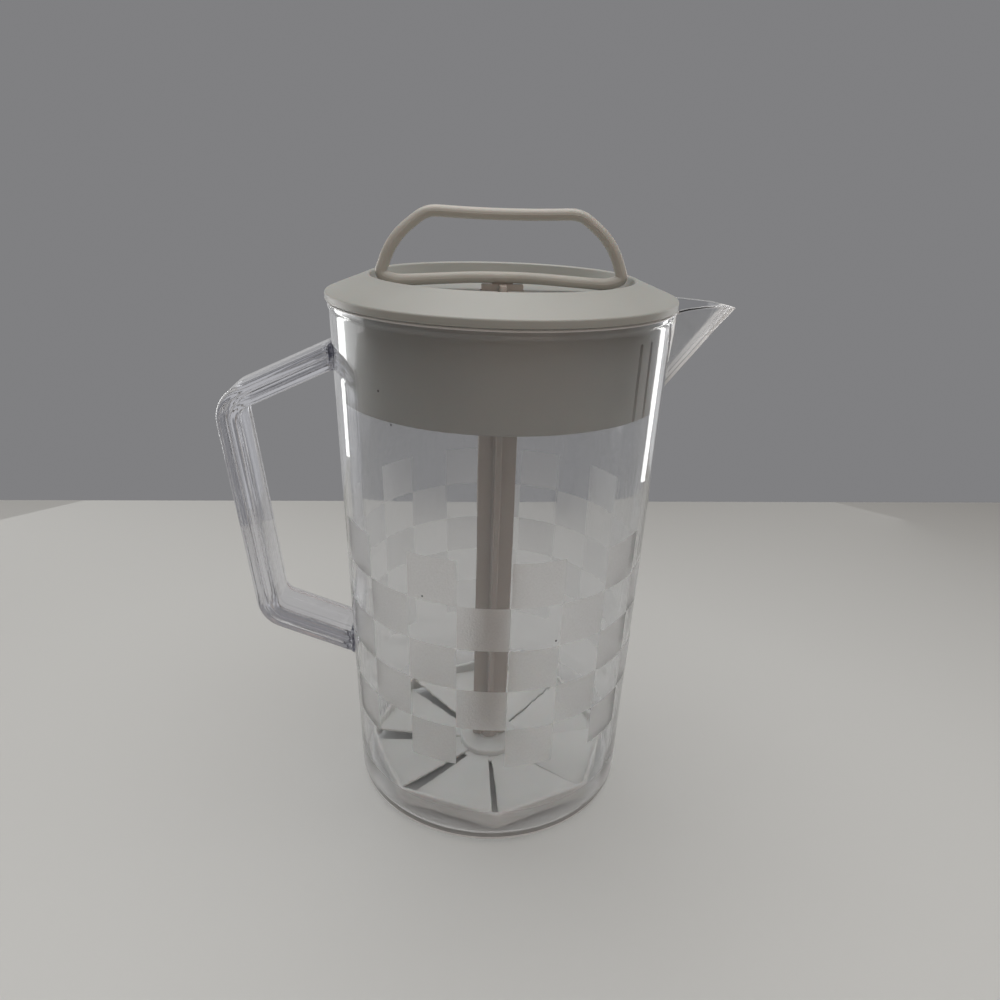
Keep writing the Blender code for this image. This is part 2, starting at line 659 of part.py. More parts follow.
def make_disc(parts, cutters, finish, axis):
    """The mixing disc: band, low hub with a round socket, and pitched blades that fall towards the hub."""
    low = FLOOR + DISC_LIFT
    corner_radius = disc_radius()
    outer = rounded_path([(x, y, BAND_CORNER_ROUND) for x, y in polygon(corner_radius)], closed=True)
    inner_corner = corner_radius - BAND_THICKNESS / cos(pi / BLADES)
    inner_round = BAND_CORNER_ROUND - BAND_THICKNESS
    inner = rounded_path([(x, y, inner_round) for x, y in polygon(inner_corner)], closed=True)
    disc = plate("mixing_disc", [outer, inner], BAND_HEIGHT, parts)
    disc.data.transform(Matrix.Translation((0, 0, low + BAND_HEIGHT / 2 - RIM_HEIGHT)))
    hub_top = low + HUB_TOP - RIM_HEIGHT
    hub_foot = FLOOR + RUNNING_GAP - RIM_HEIGHT
    hub_profile = [(0, hub_top)]
    hub_profile += arc((HUB_RADIUS - HUB_EDGE_ROUND, hub_top - HUB_EDGE_ROUND), HUB_EDGE_ROUND, pi / 2, 0)
    hub_profile += [(HUB_RADIUS, hub_foot), (0, hub_foot)]
    hub = turned("disc_hub", hub_profile, cutters, TURN_STEPS // 2)
    hub.parent = axis
    outline = blade_outline(corner_radius)
    band_inner = corner_radius * cos(pi / BLADES) - BAND_THICKNESS
    fall = atan2(BLADE_FALL, band_inner - HUB_RADIUS)
    for i in range(BLADES):
        blade = plate(f"disc_blade_{i + 1}", [outline], BLADE_THICKNESS, cutters)
        blade.data.transform(Matrix.Rotation(BLADE_PITCH, 4, "X"))
        blade.data.transform(Matrix.Translation((-band_inner, 0, 0)))
        blade.data.transform(Matrix.Rotation(-fall, 4, "Y"))
        blade.data.transform(Matrix.Translation((band_inner, 0, 0)))
        blade.data.transform(Matrix.Translation((0, 0, low + BLADE_HEIGHT - RIM_HEIGHT)))
        blade.data.transform(Matrix.Rotation((2 * i + 1) * pi / BLADES, 4, "Z"))
        blade.parent = axis
        boolean(disc, as_cutter(blade), "UNION")
    boolean(disc, as_cutter(hub), "UNION")
    socket_radius = PEG_RADIUS + SOCKET_CLEARANCE
    socket_top = hub_top + CUT_OVERRUN
    socket_foot = hub_top - SOCKET_DEPTH
    profile = [(0, socket_top), (socket_radius, socket_top), (socket_radius, socket_foot), (0, socket_foot)]
    socket = turned("peg_socket", profile, cutters, TURN_STEPS // 2)
    socket.parent = axis
    boolean(disc, as_cutter(socket), "DIFFERENCE")
    disc.parent = axis
    disc.data.materials.append(finish)
    return disc


def make_axis(name, parent, group):
    """An empty on the Z axis that a sliding piece hangs from."""
    axis = bpy.data.objects.new(name, None)
    axis.empty_display_size = GUIDE_LENGTH
    group.objects.link(axis)
    axis.parent = parent
    return axis


def main():
    clear_scene()
    parts = new_collection("quick_stir_pitcher")
    cutters = new_collection("cutters")
    clear_jug = make_material("clear_jug", (0.86, 0.88, 0.93), 0.08, 0.30)
    clear_handle = make_material("clear_handle", (0.84, 0.86, 0.93), 0.10, 0.35)
    lid_cream = make_material("lid_cream", (0.80, 0.78, 0.72), 0.42)
    grip_cream = make_material("grip_cream", (0.80, 0.77, 0.70), 0.40)
    shaft_cream = make_material("shaft_cream", (0.80, 0.76, 0.72), 0.40)
    disc_white = make_material("disc_white", (0.83, 0.83, 0.80), 0.45)

    lid_axis = make_axis("lid_axis", None, parts)
    lid_axis.location = (0, 0, RIM_HEIGHT)
    plunger_axis = make_axis("plunger_axis", lid_axis, parts)

    pieces = [
        make_jug(parts, cutters, clear_jug),
        make_handle(parts, cutters, clear_handle),
        make_lid(parts, cutters, lid_cream, lid_axis),
        make_grip(parts, cutters, grip_cream, plunger_axis),
        make_shaft(parts, cutters, shaft_cream, plunger_axis),
        make_disc(parts, cutters, disc_white, plunger_axis),
    ]
    for piece in pieces:
        shade_round(piece)


main()
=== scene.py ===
"""Quick stir pitcher: clear jug with frosted checks, bonded bar handle, strainer lid and stirring plunger.

An add-on that is run as a script. Every piece is a surface worked out with numpy, in metres, +Z up.
The origin is the centre of the jug's underside, the spout points to +X and the handle to -X.
"""
import json
from math import radians

import bmesh
import bpy
import numpy as np
from mathutils import Matrix, Vector

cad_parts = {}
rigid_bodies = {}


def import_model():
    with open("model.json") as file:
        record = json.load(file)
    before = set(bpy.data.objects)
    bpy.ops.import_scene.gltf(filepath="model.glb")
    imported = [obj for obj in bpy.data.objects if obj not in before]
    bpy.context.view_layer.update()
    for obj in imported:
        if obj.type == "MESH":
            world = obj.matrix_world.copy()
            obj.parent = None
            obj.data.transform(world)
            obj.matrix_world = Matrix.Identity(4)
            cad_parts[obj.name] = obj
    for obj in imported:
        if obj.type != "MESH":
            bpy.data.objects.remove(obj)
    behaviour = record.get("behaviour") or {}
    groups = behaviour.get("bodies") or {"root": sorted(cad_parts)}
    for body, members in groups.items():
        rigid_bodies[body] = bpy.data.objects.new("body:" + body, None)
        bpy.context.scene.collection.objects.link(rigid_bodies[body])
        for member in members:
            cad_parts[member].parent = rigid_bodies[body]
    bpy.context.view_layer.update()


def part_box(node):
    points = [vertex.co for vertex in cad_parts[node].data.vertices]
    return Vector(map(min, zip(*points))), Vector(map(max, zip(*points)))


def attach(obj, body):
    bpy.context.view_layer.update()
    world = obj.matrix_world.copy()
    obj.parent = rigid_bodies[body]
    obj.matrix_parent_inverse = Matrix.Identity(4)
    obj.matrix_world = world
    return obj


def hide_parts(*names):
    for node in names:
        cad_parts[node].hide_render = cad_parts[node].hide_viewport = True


bl_info = {
    "name": "Quick stir pitcher",
    "version": (1, 0, 0),
    "blender": (4, 5, 0),
    "location": "View3D > Sidebar > Pitcher",
    "description": "Makes a clear stir pitcher with its lid and plunger",
    "category": "Add Mesh",
}

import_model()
_, JUG_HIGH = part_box("pitcher_body")
LID_LOW, LID_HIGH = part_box("lid")
DISC_LOW, DISC_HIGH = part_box("mixing_disc")
SHAFT_LOW, SHAFT_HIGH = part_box("plunger_shaft")
_, GRIP_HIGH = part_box("plunger_grip")

ARC_POINTS = 7
KEEL_ROUND = 0.008  # rounding of the spout's keel, as a share of the distance from the axis
BOSS_GAP = 0.0006  # height of the shaft's foot over the hub
RECESS = 0.0034  # height of the sunk middle of the lid over the rim
SPECKS = [(-132.9, 0.1915), (-128.1, 0.1806), (-118.2, 0.1168), (-71.6, 0.0994)]  # azimuth in degrees, height


# ---- settings a user would change


def setting(kind, **options):
    """A function that makes one kind of property from its name, description and default."""
    return lambda name, description, default: kind(name=name, description=description, default=default, **options)


a_length = setting(bpy.props.FloatProperty, unit="LENGTH")
a_number = setting(bpy.props.FloatProperty)
an_angle = setting(bpy.props.FloatProperty, subtype="ANGLE")
a_count = setting(bpy.props.IntProperty)
a_colour = setting(bpy.props.FloatVectorProperty, subtype="COLOR")
a_point = setting(bpy.props.FloatVectorProperty, size=2)
a_place = setting(bpy.props.FloatVectorProperty, subtype="TRANSLATION")


class JugSettings(bpy.types.PropertyGroup):
    rim_height: a_length("Rim height", "Height of the rim over the table", JUG_HIGH.z)
    rim_radius: a_length("Rim radius", "Outer radius just under the rim bead", 0.0658)
    base_radius: a_length("Base radius", "Outer radius at the foot, before rounding", 0.0611)
    wall: a_length("Wall", "Thickness of the clear wall", 0.0022)
    floor: a_length("Floor", "Thickness of the clear floor", 0.0030)
    spout_tip: a_length("Spout tip", "Distance from the axis to the spout's tip", 0.0936)
    spout_root: a_length("Spout root", "Half the spout's width at the rim", 0.0235)
    spout_depth: a_length("Spout depth", "Height of the keel below the rim", 0.0373)
    spout_wall: a_length("Spout wall", "Thickness of the spout's sides", 0.0017)
    check_low: a_length("Checks start", "Height of the lowest row of frosted checks", 0.0414)
    check_height: a_length("Check height", "Height of one frosted check", 0.0185)
    check_rows: a_count("Check rows", "Rows of checks", 5)
    check_columns: a_count("Check columns", "Checks around the jug", 20)
    check_turn: an_angle("Check turn", "Azimuth of one column edge", radians(-88))
    tint: a_colour("Tint", "Colour of the clear plastic", (0.905, 0.910, 0.920))
    frost: a_colour("Frost", "Colour of the frosted checks", (0.97, 0.97, 0.975))


class HandleSettings(bpy.types.PropertyGroup):
    width: a_length("Width", "Width of the bar", 0.0232)
    depth: a_length("Depth", "Depth of the bar", 0.0090)
    edge: a_length("Edge", "Rounding of the bar's edges", 0.0022)
    bend: a_length("Bend", "Radius of the two bends", 0.0100)
    groove: a_length("Groove", "Depth of the side groove", 0.0010)
    top_root: a_point("Top root", "Where the upper arm meets the wall, x and z", (-0.0650, 0.1946))
    top_corner: a_point("Top corner", "Corner of the upper arm, x and z", (-0.10698, 0.1754))
    low_corner: a_point("Low corner", "Corner of the lower arm, x and z", (-0.0974, 0.0821))
    low_root: a_point("Low root", "Where the lower arm meets the wall, x and z", (-0.0626, 0.0672))
    tint: a_colour("Tint", "Colour of the clear bar", (0.87, 0.875, 0.92))


class LidSettings(bpy.types.PropertyGroup):
    radius: a_length("Radius", "Radius of the flange", LID_HIGH.x)
    skirt_foot: a_length("Skirt foot", "Height of its lower edge", LID_LOW.z)
    slots: a_count("Slots", "Slots in the strainer", 16)
    slot_spread: an_angle("Spread", "Angle that the slots cover", radians(91))
    slot_width: a_length("Slot width", "Width of a slot", 0.0017)
    slot_height: a_length("Slot height", "Height of a slot", 0.0280)
    gap_width: a_length("Gap width", "Width of the pour gap", 0.0340)
    gap_height: a_length("Gap height", "Height of the pour gap", 0.0240)
    colour: a_colour("Colour", "Warm off-white of the lid", (0.365, 0.368, 0.346))


class PlungerSettings(bpy.types.PropertyGroup):
    bar: a_length("Grip bar", "Thickness of the grip's bar", 0.0043)
    shaft_width: a_length("Shaft width", "Width of the cross", 0.0162)
    shaft_rib: a_length("Rib", "Thickness of a rib", 0.0028)
    blades: a_count("Blades", "Blades of the disc", 8)
    blade_pitch: an_angle("Pitch", "Tilt of a blade", radians(5.6))
    blade_fall: a_length("Fall", "Drop of the blades from band to hub", 0.0035)
    hub_radius: a_length("Hub radius", "Radius of the disc's hub", 0.0136)
    hub_top: a_length("Hub top", "Height of the hub's top over the table", 0.0080)
    peg_radius: a_length("Peg radius", "Radius of the peg under the shaft", 0.0037)
    grip_colour: a_colour("Grip colour", "Off-white of the grip", (0.470, 0.453, 0.415))
    shaft_colour: a_colour("Shaft colour", "Off-white of the shaft", (0.42, 0.378, 0.345))
    disc_colour: a_colour("Disc colour", "White of the disc", (0.60, 0.60, 0.58))


class StageSettings(bpy.types.PropertyGroup):
    floor_colour: a_colour("Floor", "Pale colour of the floor", (0.635, 0.643, 0.635))
    backdrop: a_colour("Backdrop", "Grey behind the floor", (0.215, 0.215, 0.222))
    camera_place: a_place("Camera", "Where the camera stands", (-0.02170, -0.29923, 0.25694))
    camera_tilt: an_angle("Tilt", "Camera's look down", radians(22.655))
    camera_roll: an_angle("Roll", "Camera's roll", radians(1.8865))
    camera_turn: an_angle("Turn", "Camera's turn about Z", radians(-4.5))
    camera_lens: a_number("Lens", "Focal length in mm on a 36 mm sensor", 27.162)


# ---- numbers and curves


def smooth_step(t):
    """3t^2 - 2t^3 between 0 and 1, and flat outside."""
    t = np.clip(t, 0.0, 1.0)
    return t * t * (3.0 - 2.0 * t)


def soft_max(a, b, width):
    """The larger of two, blended over a width where they meet: half of a + b + sqrt((a - b)^2 + width^2)."""
    return 0.5 * (a + b + np.sqrt((a - b) ** 2 + width**2))


def arc(centre, radius, start, end, count=ARC_POINTS):
    """Points of a circle's arc: centre + radius (cos t, sin t), t from start to end in degrees."""
    t = np.radians(np.linspace(start, end, count))
    return np.column_stack([centre[0] + radius * np.cos(t), centre[1] + radius * np.sin(t)])


def rounded(corners, closed=False, count=ARC_POINTS):
    """A path through corners (x, y, radius), each replaced by the arc that touches both of its sides."""
    corners = np.asarray(corners, float)
    n = len(corners)
    path = []
    for i in range(n):
        here, radius = corners[i, :2], corners[i, 2]
        if radius == 0 or (not closed and i in (0, n - 1)):
            path.append(here[None])
            continue
        before = corners[i - 1, :2] - here
        after = corners[(i + 1) % n, :2] - here
        before /= np.linalg.norm(before)
        after /= np.linalg.norm(after)
        half = np.arccos(np.clip(before @ after, -1, 1)) / 2
        centre = here + (before + after) / np.linalg.norm(before + after) * radius / np.sin(half)
        first = here + before * radius / np.tan(half) - centre
        last = here + after * radius / np.tan(half) - centre
        a = np.arctan2(first[1], first[0])
        b = np.arctan2(last[1], last[0])
        sweep = (b - a + np.pi) % (2 * np.pi) - np.pi
        t = a + sweep * np.linspace(0, 1, count)
        path.append(centre + radius * np.column_stack([np.cos(t), np.sin(t)]))
    return np.concatenate(path)


def resample(path, count, closed=False):
    """The same path with points at equal distances along it."""
    if closed:
        path = np.concatenate([path, path[:1]])
    steps = np.linalg.norm(np.diff(path, axis=0), axis=1)
    along = np.concatenate([[0], np.cumsum(steps)])
    where = np.linspace(0, along[-1], count, endpoint=not closed)
    return np.column_stack([np.interp(where, along, path[:, k]) for k in range(path.shape[1])])


def soften(path, width):
    """A closed path, each point averaged with its neighbours by a bell curve that is width points wide."""
    reach = int(3 * width)
    k = np.arange(-reach, reach + 1)
    weight = np.exp(-0.5 * (k / width) ** 2)
    weight /= weight.sum()
    index = (np.arange(len(path))[:, None] + k[None]) % len(path)
    return np.einsum("ijk,j->ik", path[index], weight)


def normals_of(path, closed=False):
    """Unit normals to the left of a flat path, from central differences."""
    if closed:
        along = np.roll(path, -1, axis=0) - np.roll(path, 1, axis=0)
    else:
        along = np.gradient(path, axis=0)
    along /= np.linalg.norm(along, axis=1)[:, None]
    return np.column_stack([-along[:, 1], along[:, 0]])


# ---- meshes


def raw_mesh(name, vertices, quads, triangles=()):
    """A mesh from arrays of corners, four-sided and three-sided faces, all turned outwards."""
    triangles = np.asarray(triangles, np.int32).reshape(-1, 3)
    totals = np.concatenate([np.full(len(quads), 4), np.full(len(triangles), 3)])
    loops = np.concatenate([quads.ravel(), triangles.ravel()]).astype(np.int32)
    mesh = bpy.data.meshes.new(name)
    mesh.vertices.add(len(vertices))
    mesh.vertices.foreach_set("co", np.asarray(vertices, np.float32).ravel())
    mesh.loops.add(len(loops))
    mesh.loops.foreach_set("vertex_index", loops)
    mesh.polygons.add(len(totals))
    mesh.polygons.foreach_set("loop_start", np.concatenate([[0], np.cumsum(totals)[:-1]]).astype(np.int32))
    mesh.update(calc_edges=True)
    mesh.validate()
    shape = bmesh.new()
    shape.from_mesh(mesh)
    bmesh.ops.recalc_face_normals(shape, faces=shape.faces)
    shape.to_mesh(mesh)
    shape.free()
    return mesh


def grid_mesh(name, points, poles=None, wrap_rows=False):
    """A mesh from a grid of points [row, column], joined around its columns.

    The first and the last row are closed with a fan to a pole each, their mean point unless two poles are given.
    With wrap_rows the last row joins the first instead, as on a ring.
    """
    rows, columns = points.shape[:2]
    index = np.arange(rows * columns).reshape(rows, columns)
    beside = np.roll(index, -1, axis=1)
    if wrap_rows:
        below, corner = np.roll(index, -1, axis=0), np.roll(beside, -1, axis=0)
        quads = np.stack([index, beside, corner, below], -1).reshape(-1, 4)
        return raw_mesh(name, points.reshape(-1, 3), quads)
    quads = np.stack([index[:-1], beside[:-1], beside[1:], index[1:]], -1).reshape(-1, 4)
    first, last = rows * columns, rows * columns + 1
    top = np.stack([beside[0], index[0], np.full(columns, first)], -1)
    foot = np.stack([index[-1], beside[-1], np.full(columns, last)], -1)
    if poles is None:
        poles = points[[0, -1]].mean(1)
    return raw_mesh(name, np.concatenate([points.reshape(-1, 3), poles]), quads, np.concatenate([top, foot]))


def turned(name, profile, columns):
    """Surface of revolution: (r cos t, r sin t, z) for each point (r, z) of the profile and each angle t.

    A profile that starts and ends on the axis gives a closed solid with one point at each pole.
    """
    inner = profile[1:-1]
    t = np.linspace(0, 2 * np.pi, columns, endpoint=False)
    r = inner[:, :1]
    z = np.broadcast_to(inner[:, 1:], (len(inner), columns))
    poles = [[0, 0, profile[0, 1]], [0, 0, profile[-1, 1]]]
    return grid_mesh(name, np.stack([r * np.cos(t), r * np.sin(t), z], -1), poles)


def upright_prism(name, outline, low, high, spin=0.0):
    """A prism: the flat outline (x, y) at two heights, turned about Z by spin."""
    c, s = np.cos(spin), np.sin(spin)
    turn = np.array([[c, s], [-s, c]])
    rings = [np.column_stack([outline @ turn, np.full(len(outline), z)]) for z in (low, high)]
    return grid_mesh(name, np.stack(rings))


def in_scene(name, data):
    """A new object in the scene, for a mesh, a lamp or a camera."""
    thing = bpy.data.objects.new(name, data)
    bpy.context.scene.collection.objects.link(thing)
    return thing


def combined(name, mesh, steps):
    """The mesh after joining or cutting it with other meshes, in order; steps are (operation, mesh) pairs."""
    body = in_scene(name, mesh)
    tools = []
    for operation, other in steps:
        tools.append(in_scene(f"tool_{len(tools)}", other))
        change = body.modifiers.new(tools[-1].name, "BOOLEAN")
        change.operation = operation
        change.solver = "EXACT"
        change.object = tools[-1]
    bpy.context.view_layer.update()
    result = bpy.data.meshes.new_from_object(body.evaluated_get(bpy.context.evaluated_depsgraph_get()))
    for thing in [body, *tools]:
        bpy.data.objects.remove(thing, do_unlink=True)
    result.name = name
    return result


def add_piece(name, mesh, materials, body, node, sharp=40.0):
    """Put a finished mesh in the scene, shaded smooth with its sharp edges kept, in place of a CAD node."""
    thing = in_scene(name, mesh)
    mesh.materials.clear()
    for material in materials:
        mesh.materials.append(material)
    mesh.shade_smooth()
    mesh.set_sharp_from_angle(angle=radians(sharp))
    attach(thing, body)
    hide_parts(node)
    return thing


# ---- materials


def maths(operation, reflected=False):
    """A method of Signal that adds one Math node; reflected puts the signal last, as in 1.0 - signal."""

    def method(self, *others):
        values = (*others, self) if reflected else (self, *others)
        node = self.nodes.node("ShaderNodeMath", {"operation": operation}, dict(enumerate(values)))
        return Signal(self.nodes, node.outputs[0])

    return method


class Signal:
    """A number carried by a socket. Sums and products with it add the Math nodes they need."""

    def __init__(self, nodes, socket):
        self.nodes = nodes
        self.socket = socket

    __add__, __radd__ = maths("ADD"), maths("ADD", True)
    __sub__, __rsub__ = maths("SUBTRACT"), maths("SUBTRACT", True)
    __mul__, __rmul__ = maths("MULTIPLY"), maths("MULTIPLY", True)
    __truediv__, __rtruediv__ = maths("DIVIDE"), maths("DIVIDE", True)
    __gt__, __lt__, __mod__ = maths("GREATER_THAN"), maths("LESS_THAN"), maths("FLOORED_MODULO")
    floor, root, size = maths("FLOOR"), maths("SQRT"), maths("ABSOLUTE")
    larger, smaller = maths("MAXIMUM"), maths("MINIMUM")
    azimuth = maths("ARCTAN2")  # y.azimuth(x) is the angle of the point (x, y) about the axis

    def limited(self):
        return self.larger(0.0).smaller(1.0)

    def between(self, low, high):
        """0 below low, 1 above high, straight between."""
        return ((self - low) / (high - low)).limited()


class Nodes:
    """The shader nodes of the world or of a material, all added by one method."""

    output = "ShaderNodeOutputWorld"

    def __init__(self, owner):
        self.owner = owner
        owner.use_nodes = True
        self.tree = owner.node_tree
        self.tree.nodes.clear()

    def node(self, kind, settings=None, inputs=None):
        """Add a node: its settings first, then a value or a link for each socket."""
        node = self.tree.nodes.new(kind)
        for key, value in (settings or {}).items():
            setattr(node, key, value)
        for key, value in (inputs or {}).items():
            if isinstance(value, Signal):
                value = value.socket
            if isinstance(value, bpy.types.NodeSocket):
                self.tree.links.new(value, node.inputs[key])
            else:
                node.inputs[key].default_value = value
        return node

    def mixed(self, factor, first, second):
        """Two shaders mixed by a factor."""
        return self.node("ShaderNodeMixShader", {}, {0: factor, 1: first, 2: second}).outputs[0]

    def done(self, shader):
        self.node(self.output, {}, {"Surface": shader})
        return self.owner


class Finish(Nodes):
    """The nodes of one new material, with the object's coordinates at hand."""

    output = "ShaderNodeOutputMaterial"

    def __init__(self, name, colour):
        super().__init__(bpy.data.materials.new(name))
        self.owner.diffuse_color = (*colour, 1.0)
        coordinates = self.node("ShaderNodeTexCoord")
        self.place = coordinates.outputs["Object"]
        self.unrolled = coordinates.outputs["UV"]
        split = self.node("ShaderNodeSeparateXYZ", {}, {"Vector": self.place})
        self.x, self.y, self.z = (Signal(self, split.outputs[k]) for k in range(3))

    def stretched(self, scale, place=None):
        """Coordinates with a scale of their own along each axis."""
        return self.node("ShaderNodeMapping", {}, {"Vector": place or self.place, "Scale": scale}).outputs[0]

    def noise(self, scale, detail, place=None):
        inputs = {"Vector": place or self.place, "Scale": scale, "Detail": detail}
        return Signal(self, self.node("ShaderNodeTexNoise", {}, inputs).outputs["Fac"])

    def blend(self, factor, first, second):
        """A colour between two. Sockets 6 and 7 of a Mix node are its colours, and output 2 is the result."""
        colours = {6: (*first, 1.0), 7: (*second, 1.0)}
        return self.node("ShaderNodeMix", {"data_type": "RGBA"}, {0: factor, **colours}).outputs[2]

    def bump(self, height, distance, strength):
        inputs = {"Height": height, "Distance": distance, "Strength": strength}
        return self.node("ShaderNodeBump", {}, inputs).outputs[0]

    def near(self, centre, inner, outer):
        """1 within an inner distance of a point, 0 beyond an outer one, straight between."""
        away = self.node("ShaderNodeVectorMath", {"operation": "DISTANCE"}, {0: self.place, 1: centre})
        return 1.0 - Signal(self, away.outputs["Value"]).between(inner, outer)

    def principled(self, inputs):
        return self.node("ShaderNodeBsdfPrincipled", {}, inputs).outputs[0]


def see_through(finish, shader, share):
    """The finished material. Clear plastic throws a faint shadow: for shadow rays it is a pane of that share."""
    pane = finish.node("ShaderNodeBsdfTransparent", {}, {"Color": (share, share, share, 1.0)}).outputs[0]
    path = finish.node("ShaderNodeLightPath")
    return finish.done(finish.mixed(path.outputs["Is Shadow Ray"], shader, pane))


def painted_glints_and_fog(f, jug, radius, outside):
    """1 where a light hazy finish is painted on the clear plastic as glints: the rim, the spout's keel and its
    join with the wall, and the foot, where it paints a light edge.

    The join lies where the distances from the spout's side plane and from the wall are both small. Low
    down the wall is foggy.
    """
    slope = wall_slope(jug)
    rim = (f.z > jug.rim_height - 0.0008) * (radius < jug.rim_radius + 0.0015)
    keel_low, keel_middle = jug.rim_height - jug.spout_depth, jug.rim_height - 0.5 * jug.spout_depth
    keel = (1.0 - f.y.size().between(0.0022, 0.0030)) * (f.x > jug.rim_radius + 0.0015)
    keel *= 0.5 + f.z.between(keel_low, keel_middle) * 0.5
    (nx, ny, nz), distance = spout_plane(jug)
    off_plane = (f.x * float(nx) + f.y.size() * float(ny) + f.z * float(nz) - float(distance)).size()
    off_wall = (radius - f.z * slope - jug.base_radius).size()
    join = (off_plane < 0.0008) * (off_wall < 0.0009) * (f.x > 0.8 * jug.rim_radius)
    foot = (f.z < 0.0031) * (radius > jug.base_radius - 0.0031)
    fog = outside * (1.0 - f.z.between(0.004, 0.026)) * 0.40
    return ((rim + keel + join + foot) * 0.85 + fog).limited()


def frosted_jug_material(jug, handle):
    """Clear plastic with draw lines, and outside it a band of frosted checks with a fine grain.

    A check is frosted where column + row is even; the columns divide the azimuth, the rows the height.
    """
    f = Finish("clear_jug_checks", jug.tint)
    azimuth = f.y.azimuth(f.x)
    column = ((azimuth - jug.check_turn) * (jug.check_columns / (2 * np.pi))).floor()
    level = (f.z - jug.check_low) * (1.0 / jug.check_height)
    even = ((column + level.floor()) % 2.0) < 0.5
    in_band = (level > 0.0) * (level < float(jug.check_rows))
    radius = (f.x * f.x + f.y * f.y).root()
    outside = (radius - f.z * wall_slope(jug)) > (jug.base_radius - 0.5 * jug.wall)
    lines = f.noise(1.0, 3.0, f.stretched((380.0, 380.0, 3.0)))
    ripple = f.noise(1.0, 1.0, f.stretched((26.0, 26.0, 6.0)))
    swirl = f.noise(210.0, 2.0)
    grain = f.noise(1400.0, 2.0)
    welds = [f.near(on_wall(jug, np.pi, root[1]), 0.006, 0.017) for root in (handle.top_root, handle.low_root)]
    specks = [f.near(on_wall(jug, radians(a), z), 0.00025, 0.0005) for a, z in SPECKS]
    clear = f.principled({
        "Base Color": (*jug.tint, 1.0),
        "Roughness": 0.010 + lines * 0.030,
        "IOR": 1.53,
        "Transmission Weight": 1.0,
        "Normal": f.bump(lines * 0.09 + ripple + (welds[0] + welds[1]) * swirl * 0.9, 0.0008, 0.35),
    })
    frost = f.principled({
        "Base Color": f.blend(grain.between(0.3, 0.7), tuple(0.90 * c for c in jug.frost), jug.frost),
        "Roughness": 0.26 + grain * 0.14,
        "IOR": 1.48,
        "Transmission Weight": 0.86,
        "Normal": f.bump(grain, 0.0003, 0.5),
    })
    # painted glints: a light, partly subsurface finish stands in for the glints of the rim, keel and join,
    # lightens the foot's dark edge, and low on the wall gives a faint haze
    glint_and_fog_finish = f.principled({
        "Base Color": (0.96, 0.96, 0.97, 1.0),
        "Roughness": 0.30 + grain * 0.10,
        "IOR": 1.50,
        "Transmission Weight": 0.15,
        "Subsurface Weight": 0.5,
        "Subsurface Radius": (1.0, 1.0, 1.0),
        "Subsurface Scale": 0.004,
    })
    dirt = f.principled({"Base Color": (0.02, 0.02, 0.02, 1.0), "Roughness": 0.6, "IOR": 1.4})
    body = f.mixed(even * in_band * outside, clear, frost)
    # the painted glints of rim, keel, join and foot, and the low haze, laid over the body
    with_glints = f.mixed(painted_glints_and_fog(f, jug, radius, outside), body, glint_and_fog_finish)
    return see_through(f, f.mixed(sum(specks[1:], specks[0]) * 0.9, with_glints, dirt), 0.85)


def clear_handle_material(handle):
    """Thick clear plastic, a little violet, with flow lines that follow the bar by its UV map."""
    f = Finish("clear_bar", handle.tint)
    flow = f.noise(1.0, 2.0, f.stretched((420.0, 7.0, 1.0), f.unrolled))
    shader = f.principled({
        "Base Color": (*handle.tint, 1.0),
        "Roughness": 0.01 + flow * 0.04,
        "IOR": 1.53,
        "Transmission Weight": 1.0,
        "Normal": f.bump(flow, 0.0006, 0.30),
    })
    return see_through(f, shader, 0.90)


def bond_material(handle):
    """The bonded seam: cloudy, with dark patches where the cement ran."""
    f = Finish("bonded_seam", handle.tint)
    patch = f.noise(330.0, 3.0).between(0.36, 0.54)
    shader = f.principled({
        "Base Color": f.blend(patch, (0.55, 0.56, 0.64), (0.035, 0.036, 0.06)),
        "Roughness": 0.25 + patch * 0.35,
        "IOR": 1.5,
        "Transmission Weight": 0.6,
        "Normal": f.bump(patch, 0.0005, 0.6),
    })
    return see_through(f, shader, 0.6)


def moulded_material(name, colour, roughness, flow_scale, sheen):
    """Moulded off-white plastic: faint cloudiness, fine texture, slightly uneven gloss."""
    f = Finish(name, colour)
    cloud = f.noise(flow_scale, 3.0)
    fine = f.noise(2600.0, 2.0)
    darker = tuple(0.95 * c for c in colour)
    lighter = tuple(min(1.0, 1.035 * c) for c in colour)
    shader = f.principled({
        "Base Color": f.blend(cloud.between(0.3, 0.7), darker, lighter),
        "Roughness": roughness + (cloud - 0.5) * 0.12 + (fine - 0.5) * 0.05,
        "IOR": 1.49,
        "Subsurface Weight": sheen,
        "Subsurface Scale": 0.002,
        "Normal": f.bump(fine + cloud * 3.0, 0.0001, 0.35),
    })
    return f.done(shader)


# ---- pieces


def wall_slope(jug):
    """How much the jug's outer radius grows per metre of height."""
    return (jug.rim_radius - jug.base_radius) / jug.rim_height


def wall_radius(jug, z):
    """Outer radius of the jug: straight draft from base to rim."""
    return jug.base_radius + wall_slope(jug) * z


def on_wall(jug, azimuth, z):
    """The point of the jug's outside at an azimuth and a height."""
    radius = wall_radius(jug, z)
    return float(radius * np.cos(azimuth)), float(radius * np.sin(azimuth)), float(z)


def spout_plane(jug):
    """Unit normal n of the spout's side, a plane through tip, keel root and rim root, and its distance n.T.

    Tip and keel are moved out by what the rounding of the keel takes off.
    """
    root_x = np.sqrt(jug.rim_radius**2 - jug.spout_root**2)
    moved = 1 + KEEL_ROUND * (jug.spout_tip - root_x) / jug.spout_root
    tip = np.array([jug.spout_tip * moved, 0.0, jug.rim_height])
    low = jug.rim_height - jug.spout_depth
    keel = np.array([wall_radius(jug, low) * moved, 0.0, low])
    root = np.array([root_x, jug.spout_root, jug.rim_height])
    normal = np.cross(keel - tip, root - tip)
    normal *= np.sign(normal[1]) / np.linalg.norm(normal)
    return normal, normal @ tip


